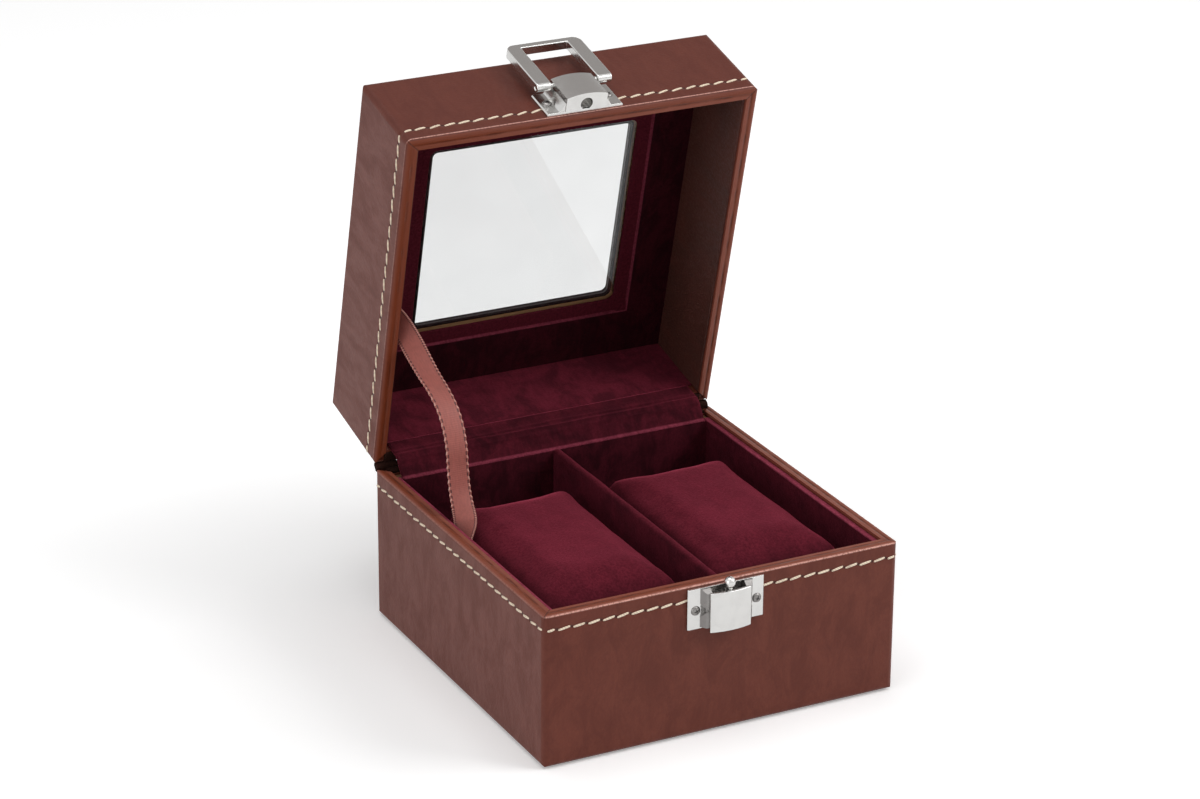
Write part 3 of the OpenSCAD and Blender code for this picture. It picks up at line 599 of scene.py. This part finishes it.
def soften(bm, width, sharper_than=30, segments=3):
    """Rounds the edges that are sharper than an angle in degrees."""
    sharp = [e for e in bm.edges if len(e.link_faces) == 2
             and e.calc_face_angle(0) > math.radians(sharper_than)]
    bmesh.ops.bevel(bm, geom=sharp, offset=width, offset_type="OFFSET", affect="EDGES",
                    segments=segments, profile=0.5, material=-1, clamp_overlap=True)


def add_piece(name, bm, material, smooth=38):
    """Makes a bmesh into an object of the scene."""
    mesh = bpy.data.meshes.new(name)
    bm.to_mesh(mesh)
    bm.free()
    mesh.shade_smooth()
    mesh.set_sharp_from_angle(angle=math.radians(smooth))
    mesh.materials.append(material)
    made = bpy.data.objects.new(name, mesh)
    bpy.context.scene.collection.objects.link(made)
    return made


def baked(obj):
    """Applies an object's modifiers to its mesh."""
    bpy.context.view_layer.update()
    done = bpy.data.meshes.new_from_object(
        obj.evaluated_get(bpy.context.evaluated_depsgraph_get()))
    obj.modifiers.clear()
    obj.data = done
    return obj


def stand_in(made, body, slot, *nodes):
    """Puts a piece in the place of CAD nodes, on their body; the slot is not used."""
    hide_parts(*nodes)
    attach(made, body)
    return made


def softened(name, node, material, body, width, slot, segments=3):
    """A rounded copy that stands for a CAD node."""
    bm = merged_copy(node)
    soften(bm, width, segments=segments)
    made = add_piece(name, bm, material)
    made.modifiers.new("even_normals", "WEIGHTED_NORMAL").keep_sharp = True
    return stand_in(made, body, slot, node)


def paint(material, *nodes):
    """Gives CAD nodes a material."""
    for node in nodes:
        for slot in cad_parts[node].material_slots:
            slot.material = material


def swung(y, z):
    """A point (y, z) of the shut lid in millimetres, with the lid open."""
    turned = Matrix.Rotation(-LID_OPEN, 3, "X") @ (Vector((0, y, z)) - HINGE) + HINGE
    return turned.y, turned.z


def turn_open(bm):
    """Turns what was made on the shut lid to where the open lid is."""
    bmesh.ops.rotate(bm, verts=bm.verts, cent=HINGE * MM,
                     matrix=Matrix.Rotation(-LID_OPEN, 3, "X"))


def smooth_path(points, spacing):
    """Points about one spacing apart on a smooth curve through the given ones."""
    points = [Vector(p) for p in points]
    points = [2 * points[0] - points[1], *points, 2 * points[-1] - points[-2]]
    out = []
    for a, b, c, d in zip(points, points[1:], points[2:], points[3:]):
        steps = max(2, round((c - b).length / spacing))
        for i in range(steps):
            t = i / steps
            out.append(0.5 * (2 * b + (c - a) * t + (2 * a - 5 * b + 4 * c - d) * t ** 2
                              + (3 * b - a - 3 * c + d) * t ** 3))
    return [*out, points[-2]]


def bent_sheet(name, material, columns, rows, wide, tall, place, thickness):
    """A cloth sheet: a flat grid whose point (a, b) goes to place(a, b), then given a thickness.
    Its UV map is the flat cloth in millimetres."""
    bm = bmesh.new()
    uv = bm.loops.layers.uv.new("cloth")
    bmesh.ops.create_grid(bm, x_segments=columns, y_segments=rows, size=0.5)
    for vert in bm.verts:
        for loop in vert.link_loops:
            loop[uv].uv = ((vert.co.x + 0.5) * wide, (vert.co.y + 0.5) * tall)
    for vert in bm.verts:
        vert.co = place(vert.co.x + 0.5, vert.co.y + 0.5) * MM
    made = add_piece(name, bm, material)
    thick = made.modifiers.new("thickness", "SOLIDIFY")
    thick.thickness, thick.offset = thickness * MM, 0
    return baked(made)


# Operators

class Step:
    """What the operators share: each makes one group of pieces."""

    def execute(self, context):
        self.make(context.scene)
        return {"FINISHED"}


class CASE_OT_leather(Step, bpy.types.Operator):
    """Finish the leather of the base and the lid"""
    bl_idname = "case.leather"
    bl_label = "Leather"

    def make(self, scene):
        paint(leather("case_leather"), "base_leather")
        paint(leather("case_leather_lid", True), "lid_leather")
        paint(lining_leather("case_lining_leather"), "lid_wall_lining")


class CASE_OT_stitching(Step, bpy.types.Operator):
    """Sew the saddle stitches round the base and the lid"""
    bl_idname = "case.stitching"
    bl_label = "Stitching"

    def sew(self, name, row, body, on_lid):
        """One row of stitches round the walls; row is its distance from the rim in metres."""
        stitches = bpy.context.scene.case_stitches
        rng = random.Random(stitches.seed + on_lid)
        half = HALF_WIDTH * MM
        count = 2 * int((half - 0.0015) / stitches.pitch - 0.5) + 1
        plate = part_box("catch_plate")[1].x + 0.0004
        height = LID_RIM * MM + row if on_lid else BASE_RIM * MM - row
        bm = bmesh.new()
        for quarter in range(4):
            out = Matrix.Rotation(quarter * math.pi / 2, 3, "Z") @ Vector((0, -1, 0))
            right = UP.cross(out)
            for i in range(-1, count + 1):
                along = (i - count // 2) * stitches.pitch
                if quarter == 0 and abs(along) + stitches.long / 2 < plate:
                    continue
                short = 1.0
                if i in (-1, count):
                    along, short = math.copysign(half - 0.0027, along), 0.6
                tilt = stitches.slant * rng.uniform(0.7, 1.3) * (1.5 if on_lid else 1)
                run = math.cos(tilt) * right + math.sin(tilt) * UP
                middle = out * half + right * (along + rng.uniform(-1, 1) * 0.00012)
                middle.z = height + rng.uniform(-1, 1) * 0.00008
                long = short * stitches.long / 2 * rng.uniform(0.95, 1.04)
                shape = Matrix((out * 0.0004, run.cross(out) * stitches.wide / 2, run * long))
                verts = bmesh.ops.create_uvsphere(
                    bm, u_segments=8, v_segments=6, radius=1)["verts"]
                for vert in verts:
                    blunt = abs(vert.co.z) ** 0.45
                    thin = math.sqrt(max(0, 1 - vert.co.z ** 2))
                    vert.co.z = math.copysign(blunt, vert.co.z)
                    vert.co.xy *= thin ** 0.35 / max(thin, 1e-3) if thin > 1e-3 else 0
                    vert.co.x -= 0.7 * vert.co.z ** 4
                bmesh.ops.transform(bm, verts=verts, matrix=Matrix.Translation(middle)
                                    @ shape.transposed().to_4x4())
        bmesh.ops.recalc_face_normals(bm, faces=bm.faces)
        if on_lid:
            turn_open(bm)
        made = add_piece(name, bm, thread(f"case_thread_{body}", on_lid), smooth=180)
        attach(made, body)
        return made

    def make(self, scene):
        stitches = scene.case_stitches
        self.sew("base_stitching", stitches.base_row, "base", False)
        self.sew("lid_stitching", stitches.lid_row, "lid", True)


def velvet_copy(name, node, body, material, width, wave):
    """A velvet-covered copy of a board: rounded edges and a slightly uneven surface."""
    bm = merged_copy(node)
    soften(bm, width * MM, sharper_than=60, segments=3)
    for axis in range(3):
        low, high = (end(v.co[axis] for v in bm.verts) for end in (min, max))
        normal = Vector([float(i == axis) for i in range(3)])
        steps = int((high - low) / 0.006)
        for i in range(1, steps):
            bmesh.ops.bisect_plane(bm, geom=bm.verts[:] + bm.edges[:] + bm.faces[:], dist=1e-6,
                                   plane_co=normal * (low + (high - low) * i / steps),
                                   plane_no=normal)
    bmesh.ops.triangulate(bm, faces=[f for f in bm.faces if len(f.verts) > 4])
    noise.seed_set(5)  # without a seed, noise vectors differ from run to run
    for vert in bm.verts:
        vert.co += wave * MM * noise.noise_vector(vert.co / (14 * MM))
    return stand_in(add_piece(name, bm, material), body, "velvet", node)


class CASE_OT_tray(Step, bpy.types.Operator):
    """Cover the tray and its divider in velvet"""
    bl_idname = "case.tray"
    bl_label = "Velvet tray"

    def make(self, scene):
        colours = scene.case_colours
        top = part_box("base_liner")[1].z / MM
        # The tray's velvet is painted a little darker as shade, with a painted highlight along its
        # top edge; the divider's top gets a painted highlight
        velvet_copy("velvet_tray", "base_liner", "base", velvet(
            "case_velvet", False, 0.85, 0.5, (top - 0.7, top - 0.2, colours.velvet_crest, 0.95)),
            0.7, 0.16)
        velvet_copy("velvet_divider", "divider", "base", velvet(
            "case_velvet_divider", False, 0.9, 0.5, (top - 1.2, top, colours.velvet_light, 0.5)),
            0.3, 0.2)


class CASE_OT_lid_velvet(Step, bpy.types.Operator):
    """Cover the window's frame and the lid's back wall in velvet"""
    bl_idname = "case.lid_velvet"
    bl_label = "Velvet in the lid"

    def make(self, scene):
        # The window frame's velvet is painted dark as shade, plain inside its step; the lid's back
        # lining is painted lighter as light
        velvet_copy("velvet_window_frame", "window_surround", "lid",
                    velvet("case_velvet_frame", True, 0.45, 0.2, None, WINDOW_STEP),
                    0.35, 0.12)
        velvet_copy("velvet_lid_back", "lid_back_lining", "lid",
                    velvet("case_velvet_lid", True, 1.8, 0.9), 0.2, 0.12)


SIM_SCALE = 10


def blow_up(obj, settings):
    """Inflates a closed mesh as cloth and returns its points after the simulation."""
    cloth = obj.modifiers.new("air", "CLOTH").settings
    cloth.use_pressure = True
    cloth.uniform_pressure_force = settings.pressure
    cloth.quality = 6
    cloth.mass = 0.3
    cloth.tension_stiffness = cloth.compression_stiffness = 18
    cloth.bending_stiffness = 2.5
    cloth.effector_weights.gravity = 0
    scene = bpy.context.scene
    for step in range(1, 21):
        scene.frame_set(step)
    shown = obj.evaluated_get(bpy.context.evaluated_depsgraph_get())
    points = [v.co.copy() for v in shown.data.vertices]
    obj.modifiers.clear()
    scene.frame_set(1)
    return points


class CASE_OT_pillows(Step, bpy.types.Operator):
    """Fill the two velvet pillows"""
    bl_idname = "case.pillows"
    bl_label = "Pillows"

    def fill(self, scene, side):
        settings = scene.case_pillows
        low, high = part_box(f"pillow_{side}_sleeve")
        middle = (low + high) / 2
        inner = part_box(f"pillow_{side}_foam")
        grown = Matrix.Diagonal([SIM_SCALE * a / b for a, b in
                                 zip(high - low + Vector((0.0012, 0.0006, 0.0004)),
                                     inner[1] - inner[0])])
        bm = merged_copy(f"pillow_{side}_foam")
        bmesh.ops.transform(bm, verts=bm.verts, matrix=grown.to_4x4()
                            @ Matrix.Translation(-middle))
        # The pillows' velvet is painted darker as shade, and lighter towards the top as a painted
        # highlight
        made = add_piece(f"velvet_pillow_{side}", bm, velvet(
            "case_velvet_pillow", False, 0.62, 0.8,
            (high.z / MM - 8, high.z / MM - 0.5, scene.case_colours.velvet_light, 1.0)))
        remesh = made.modifiers.new("even_faces", "REMESH")
        remesh.mode, remesh.voxel_size = "VOXEL", settings.voxel * SIM_SCALE
        baked(made)
        start = [v.co.copy() for v in made.data.vertices]
        blown = blow_up(made, settings)
        reach = settings.swell * SIM_SCALE
        for vert, a, b in zip(made.data.vertices, start, blown):
            move = b - a
            if move.length > reach:
                move *= reach / move.length
            vert.co = (a + move) / SIM_SCALE + middle
        bm = bmesh.new()
        bm.from_mesh(made.data)
        for _ in range(3):
            bmesh.ops.smooth_vert(bm, verts=bm.verts, factor=0.5, use_axis_x=True,
                                  use_axis_y=True, use_axis_z=True)
        bm.normal_update()
        for vert in bm.verts:
            depth = noise.fractal(vert.co / (17 * MM) + Vector((3.1, 0, 0)), 0.9, 2.0, 3)
            vert.co += vert.normal * settings.dent * depth
            vert.co.z = max(vert.co.z, low.z)
        bm.to_mesh(made.data)
        bm.free()
        made.data.shade_smooth()
        finer = made.modifiers.new("finer", "SUBSURF")
        finer.levels = finer.render_levels = 1
        stand_in(made, f"pillow_{side}", "velvet", f"pillow_{side}_sleeve", f"pillow_{side}_foam")

    def make(self, scene):
        for side in ("left", "right"):
            self.fill(scene, side)


class CASE_OT_flap(Step, bpy.types.Operator):
    """Lay the velvet flap over the hinge"""
    bl_idname = "case.flap"
    bl_label = "Hinge flap"

    def make(self, scene):
        low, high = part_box("hinge_flap")
        wide = (high.x - low.x) / MM
        path = smooth_path([(0, *spot) for spot in (*FLAP_LOW, *(swung(*p) for p in FLAP_HIGH))],
                           0.45)
        tall = sum((b - a).length for a, b in zip(path, path[1:]))

        def place(a, b):
            spot = path[round(b * (len(path) - 1))]
            x = low.x / MM + a * wide
            wave = 0.22 * noise.noise(Vector((x / 9, b * 2.5, 4.2))) * math.sin(math.pi * b)
            for spot_b, deep in FLAP_CREASES:
                line = spot_b + 0.025 * noise.noise(Vector((x / 16, spot_b * 40, 0.5)))
                wave -= deep * math.exp(-((b - line) / 0.03) ** 2)
            return Vector((x, spot.y + wave, spot.z - wave))

        # The flap's velvet is painted lighter as light, with a painted highlight where it lies on
        # the tray
        made = bent_sheet("velvet_hinge_flap", velvet(
            "case_velvet_flap", False, 1.15, 0.6,
            (53.8, 53.35, scene.case_colours.velvet_crest, 0.7)), 90, len(path) - 1, wide,
            tall, place, 0.55)
        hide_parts("hinge_flap")
        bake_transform(made)


# Middle line of the stay ribbon: y, z and how far it lies flat to the side wall, in degrees
RIBBON_ROUTE = [
    (9.5, 36, 90), (10, 41, 90), (11, 45.5, 80), (12.4, 49.5, 55), (14.4, 53.5, 24),
    (17, 57.5, 6), (19.5, 63, 0), (21, 70, 0), (22, 77, 0), (24.5, 83.5, 0), (28.5, 89, 0),
    (34.5, 93, 0), (41.5, 96, 5), (48.5, 100, 15), (55, 105, 35), (59.5, 110, 60),
    (62, 114.5, 82), (63, 118.5, 90), (63, 122, 90)]


class CASE_OT_ribbon(Step, bpy.types.Operator):
    """Hang the stay ribbon between tray and lid"""
    bl_idname = "case.ribbon"
    bl_label = "Stay ribbon"

    def make(self, scene):
        path = smooth_path(RIBBON_ROUTE, 0.55)
        line = [Vector((0, p.x, p.y)) for p in path]
        tall = sum((b - a).length for a, b in zip(line, line[1:]))
        last = len(path) - 1
        low_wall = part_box("base_liner")[0].x / MM + 2.0
        high_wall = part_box("window_surround")[0].x / MM

        def place(a, b):
            i = round(b * last)
            turn = math.radians(path[i].z)
            run = (line[min(i + 1, last)] - line[max(i - 1, 0)]).normalized()
            side = Vector((0, -run.z, run.y))
            blend = min(1, max(0, (path[i].y - 80) / 30))
            wall = low_wall + (high_wall - low_wall) * blend * blend * (3 - 2 * blend)
            across = Vector((math.cos(turn), side.y * math.sin(turn), side.z * math.sin(turn)))
            thick = Vector((-math.sin(turn), side.y * math.cos(turn), side.z * math.cos(turn)))
            free = math.sin(math.pi * min(1, max(0, (path[i].y - 42) / 76)))
            middle = Vector((wall + 4 * across.x - 0.27 * thick.x + 0.04 + 0.5 * free,
                             *line[i].yz))
            picot = 0.14 * math.cos(2 * math.pi * b * tall / PICOT) if a in (0.0, 1.0) else 0
            cup = 0.16 * (1 - (2 * a - 1) ** 2) * math.cos(turn)
            return middle + across * ((2 * a - 1) * (3.86 + picot)) + thick * cup

        made = bent_sheet("satin_stay_ribbon", satin("case_satin"), 10, last, 8.0, tall, place,
                          0.42)
        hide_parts("stay_ribbon")
        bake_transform(made)


class CASE_OT_window(Step, bpy.types.Operator):
    """Glaze the lid's window"""
    bl_idname = "case.window"
    bl_label = "Window"

    def make(self, scene):
        paint(pane_glass("case_glass"), "window_glass")
        softened("window_trim", "window_bead", dark_trim("case_dark_trim"), "lid", 0.2 * MM,
                 "black_trim", segments=2)


class CASE_OT_hinge(Step, bpy.types.Operator):
    """Plate the knuckled hinge, its pin and its screws"""
    bl_idname = "case.hinge"
    bl_label = "Hinge"

    def make(self, scene):
        steel = plated("case_hinge_steel", "steel", 0.3)
        softened("hinge_leaf_base", "base_hinge_leaf", steel, "base", 0.06 * MM, "hinge_steel", 2)
        softened("hinge_leaf_lid", "lid_hinge_leaf", steel, "lid", 0.06 * MM, "hinge_steel", 2)
        paint(steel, "hinge_pin", "base_hinge_screws", "lid_hinge_screws")
        self.close_ends("hinge_end_cords", "base", -1)
        self.close_ends("hinge_end_felt", "lid", 1)

    def close_ends(self, name, body, side):
        """Dark felt strips that fill the walls' gap beyond the hinge as painted shade; the base's
        have a cord too.
        """
        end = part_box("hinge_pin")[1].x / MM + 0.1
        bm = bmesh.new()
        for way in (-1, 1):
            for x, far_x, y in ((end, GAP_SIDE, GAP_SIDE + 0.3),
                                (GAP_SIDE, GAP_CORNER, GAP_CORNER + 0.4)):
                size = Vector((far_x - x, GAP_BACK - y, FELT_TALL)) * MM
                middle = Vector((way * (x + far_x) / 2, (y + GAP_BACK) / 2,
                                 HINGE.z + side * FELT_AWAY)) * MM
                bmesh.ops.create_cube(bm, size=1, matrix=Matrix.Translation(middle)
                                      @ Matrix.Diagonal(size).to_4x4())
            if body == "base":
                bmesh.ops.create_cone(
                    bm, cap_ends=True, segments=20, radius1=CORD_RADIUS * MM,
                    radius2=CORD_RADIUS * MM, depth=(CORD_END - end) * MM,
                    matrix=Matrix.Translation(
                        Vector((way * (CORD_END + end) / 2, HINGE.y, HINGE.z)) * MM)
                    @ Matrix.Rotation(math.pi / 2, 4, "Y"))
        if body == "lid":
            turn_open(bm)
        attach(add_piece(name, bm, felt("case_felt")), body)


def cross_head(bm, foot, out, roll):
    """A domed screw head with a cross recess: its foot's middle, the way it faces, its turn."""
    across = Vector((1, 0, 0))
    turn = Matrix((across, out.cross(across), out)).transposed().to_4x4()
    at = Matrix.Translation(foot) @ turn @ Matrix.Rotation(roll, 4, "Z")

    def ring(radius, height, count=32):
        made = bmesh.ops.create_circle(bm, segments=count, radius=radius * MM,
                                       matrix=at @ Matrix.Translation((0, 0, height * MM)))
        return made["verts"]

    def join(a, b):
        edges = {e for v in (*a, *b) for e in v.link_edges}
        loops = [e for e in edges if set(e.verts) <= set(a) or set(e.verts) <= set(b)]
        bmesh.ops.bridge_loops(bm, edges=loops)

    rings = [ring(radius, height) for radius, height in HEAD_RINGS]
    for a, b in zip(rings, rings[1:]):
        join(a, b)
    arm, half = CROSS_REACH, CROSS_HALF
    corners = [(arm, -half), (arm, half), (half, half), (half, arm), (-half, arm), (-half, half)]
    corners += [(-x, -y) for x, y in corners]
    floors = []
    for height, keep in CROSS_LEVELS:
        verts = [bm.verts.new(at @ Vector((x * keep * MM, y * keep * MM, height * MM)))
                 for x, y in corners]
        for a, b in zip(verts, verts[1:] + verts[:1]):
            bm.edges.new((a, b))
        floors.append(verts)
    join(rings[-1], floors[0])
    join(floors[0], floors[1])
    bm.faces.new(floors[1])
    bm.faces.new(rings[0])


class CASE_OT_screws(Step, bpy.types.Operator):
    """Turn the clasp's domed screws into their plates"""
    bl_idname = "case.screws"
    bl_label = "Clasp screws"

    def turn_in(self, name, node, body, on_lid):
        spots = [v.co.copy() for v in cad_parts[node].data.vertices]
        if on_lid:
            back = Matrix.Rotation(LID_OPEN, 3, "X")
            spots = [back @ (spot - HINGE * MM) + HINGE * MM for spot in spots]
        z = (min(s.z for s in spots) + max(s.z for s in spots)) / 2
        face = min(s.y for s in spots) + 0.00035
        x = max(s.x for s in spots) - HEAD_RINGS[0][0] * MM
        bm = bmesh.new()
        for side, roll in ((-1, 0.35), (1, 1.1)):
            cross_head(bm, Vector((side * x, face, z)), Vector((0, -1, 0)), roll)
            bmesh.ops.create_cone(
                bm, cap_ends=True, segments=16, radius1=0.0008, radius2=0.0008, depth=0.004,
                matrix=Matrix.Translation((side * x, face + 0.0026, z))
                @ Matrix.Rotation(math.pi / 2, 4, "X"))
        bmesh.ops.recalc_face_normals(bm, faces=bm.faces)
        if on_lid:
            turn_open(bm)
        # The screw heads are painted darker, a painted dark reflection
        dark_reflection = plated("case_chrome_dull", "chrome_dull", 0.26)
        stand_in(add_piece(name, bm, dark_reflection, smooth=42), body, "chrome", node)

    def make(self, scene):
        self.turn_in("clasp_screws_base", "catch_screws", "base", False)
        self.turn_in("clasp_screws_lid", "hasp_screws", "lid", True)


class CASE_OT_clasp(Step, bpy.types.Operator):
    """Polish the swing-loop clasp"""
    bl_idname = "case.clasp"
    bl_label = "Clasp"

    def make(self, scene):
        chrome = plated("case_chrome")
        # The catch body and pips are painted darker, a painted dark reflection
        dark_reflection = plated("case_chrome_dull", "chrome_dull", 0.26)
        for name, node, material, body, width, segments in (
                ("clasp_plate_base", "catch_plate", chrome, "base", 0.14, 3),
                ("clasp_plate_lid", "hasp_plate", chrome, "lid", 0.14, 3),
                ("clasp_block", "hasp_block", chrome, "lid", 0.22, 3),
                ("clasp_catch", "catch_body", dark_reflection, "base", 0.12, 3),
                ("clasp_cover", "catch_cover", chrome, "base", 0.28, 3),
                ("clasp_stud", "catch_stud", chrome, "base", 0.1, 3),
                ("clasp_pips", "catch_pips", dark_reflection, "base", 0.25, 3),
                ("clasp_loop", "hasp_loop", chrome, "loop", 0.5, 4),
                ("clasp_loop_pin", "hasp_pin", chrome, "loop", 0.2, 3)):
            softened(name, node, material, body, width * MM, "chrome", segments)


class CASE_OT_carcass(Step, bpy.types.Operator):
    """Finish the boards, fillings and the panel under the base"""
    bl_idname = "case.carcass"
    bl_label = "Boards and panel"

    def make(self, scene):
        board = srgb(176, 132, 88)
        paint(wood("case_board", board), "base_board")
        paint(wood("case_board_lid", board, True), "lid_board")
        paint(wood("case_batten", srgb(150, 108, 76)), "hinge_batten")
        paint(foam("case_foam"), "pillow_left_foam", "pillow_right_foam")
        paint(panel_paper("case_panel_paper"), "base_sole")


class CASE_OT_stage(Step, bpy.types.Operator):
    """Set up the floor, the lamps, the world and the camera"""
    bl_idname = "case.stage"
    bl_label = "Stage"

    def floor(self):
        """White to the camera away from the case, and lit enough near it to show its shadow."""
        build = Surface("stage_floor")
        away = build.node("VectorMath", {0: build.place()}, operation="LENGTH")["Value"]
        glow = build.spread(away, 110.0, 300.0, 0.6, 1.0)
        white = build.finish(srgb(246, 246, 246), 0.9, more={
            "Specular IOR Level": 0.0, "Emission Color": (1, 1, 1),
            "Emission Strength": build.seen() * (glow * 0.47)})
        bm = bmesh.new()
        bmesh.ops.create_circle(bm, cap_ends=True, segments=96, radius=1.2,
                                matrix=Matrix.Translation((0, 0, -0.0001)))
        add_piece("stage_floor", bm, white)

    def lamp(self, name, power, size, spot, aim=(0, 0.01, 0.06)):
        data = bpy.data.lights.new(name, "AREA")
        data.energy, data.shape, data.size = power, "SQUARE", size
        made = bpy.data.objects.new(name, data)
        made.location = spot
        made.rotation_mode = "QUATERNION"
        made.rotation_quaternion = (Vector(aim) - Vector(spot)).to_track_quat("-Z", "Y")
        bpy.context.scene.collection.objects.link(made)

    def grey_card(self):
        """A dark card behind the case, which only its polished metal reflects."""
        grey = Surface("stage_card").finish((0, 0, 0), 0.5, more={
            "Specular IOR Level": 0.0, "Emission Color": srgb(178, 174, 172),
            "Emission Strength": 1.0})
        bm = bmesh.new()
        bmesh.ops.create_grid(bm, x_segments=1, y_segments=1, size=0.55)
        spot = Vector((0.55, 0.75, 1.05))
        turn = (Vector((0, 0, 0.1)) - spot).to_track_quat("Z", "Y").to_matrix().to_4x4()
        bmesh.ops.transform(bm, verts=bm.verts, matrix=Matrix.Translation(spot) @ turn)
        card = add_piece("stage_card", bm, grey)
        card.visible_camera = card.visible_diffuse = card.visible_shadow = False
        card.visible_transmission = False

    def world(self, ambient):
        world = bpy.data.worlds.new("stage_world")
        world.use_nodes = True
        world.node_tree.nodes.clear()
        build = Tree(world.node_tree)
        even, white = (build.node("Background", {"Color": (1, 1, 1), "Strength": strength})[0]
                       for strength in (ambient, 1.0))
        both = build.node("MixShader", {0: build.seen(), 1: even, 2: white})[0]
        build.node("OutputWorld", {"Surface": both})
        bpy.context.scene.world = world

    def camera(self):
        azimuth, elevation, roll = (math.radians(a) for a in VIEW_ANGLES)
        back = Vector((math.sin(azimuth) * math.cos(elevation),
                       -math.cos(azimuth) * math.cos(elevation), math.sin(elevation)))
        right = Vector((math.cos(azimuth), math.sin(azimuth), 0))
        up = back.cross(right)
        spot = (back * VIEW_BACK - right * VIEW_LEFT + up * VIEW_UP) * MM
        turned = Matrix((math.cos(roll) * right + math.sin(roll) * up,
                         math.cos(roll) * up - math.sin(roll) * right, back)).transposed()
        data = bpy.data.cameras.new("photo_camera")
        data.lens, data.sensor_width, data.sensor_fit = VIEW_LENS, 36, "HORIZONTAL"
        data.clip_start, data.clip_end = 0.05, 20
        made = bpy.data.objects.new("photo_camera", data)
        made.matrix_world = Matrix.Translation(spot) @ turned.to_4x4()
        bpy.context.scene.collection.objects.link(made)
        bpy.context.scene.camera = made

    def make(self, scene):
        light = scene.case_stage
        self.floor()
        self.grey_card()
        self.world(light.ambient)
        self.lamp("stage_key", light.key, 0.6, (0.75, -0.55, 0.8))
        self.lamp("stage_top", light.top, 0.8, (-0.1, 0.0, 1.2))
        self.lamp("stage_fill", light.fill, 0.8, (-1.0, -0.35, 0.35))
        self.camera()
        scene.view_settings.view_transform = "Standard"


OPERATORS = (CASE_OT_leather, CASE_OT_stitching, CASE_OT_tray, CASE_OT_lid_velvet,
             CASE_OT_pillows, CASE_OT_flap, CASE_OT_ribbon, CASE_OT_window, CASE_OT_hinge,
             CASE_OT_clasp, CASE_OT_screws, CASE_OT_carcass, CASE_OT_stage)
SETTINGS = {"case_colours": CaseColours, "case_stitches": CaseStitches,
            "case_pillows": CasePillows, "case_stage": CaseStage}


class CASE_PT_sidebar(bpy.types.Panel):
    """The case's pieces and their sizes and colours"""
    bl_idname = "CASE_PT_sidebar"
    bl_label = "Watch travel case"
    bl_space_type = "VIEW_3D"
    bl_region_type = "UI"
    bl_category = "Watch case"

    def draw(self, context):
        for name in SETTINGS:
            box = self.layout.box()
            group = getattr(context.scene, name)
            for prop in group.bl_rna.properties:
                if prop.identifier not in ("rna_type", "name"):
                    box.prop(group, prop.identifier)
        for operator in OPERATORS:
            self.layout.operator(operator.bl_idname)


def register():
    for group in (*SETTINGS.values(), *OPERATORS, CASE_PT_sidebar):
        bpy.utils.register_class(group)
    for name, group in SETTINGS.items():
        setattr(bpy.types.Scene, name, PointerProperty(type=group))


def unregister():
    for name in SETTINGS:
        delattr(bpy.types.Scene, name)
    for group in reversed((*SETTINGS.values(), *OPERATORS, CASE_PT_sidebar)):
        bpy.utils.unregister_class(group)


def main():
    register()
    for operator in OPERATORS:
        getattr(bpy.ops.case, operator.bl_idname.split(".")[1])()


if __name__ == "__main__":
    main()
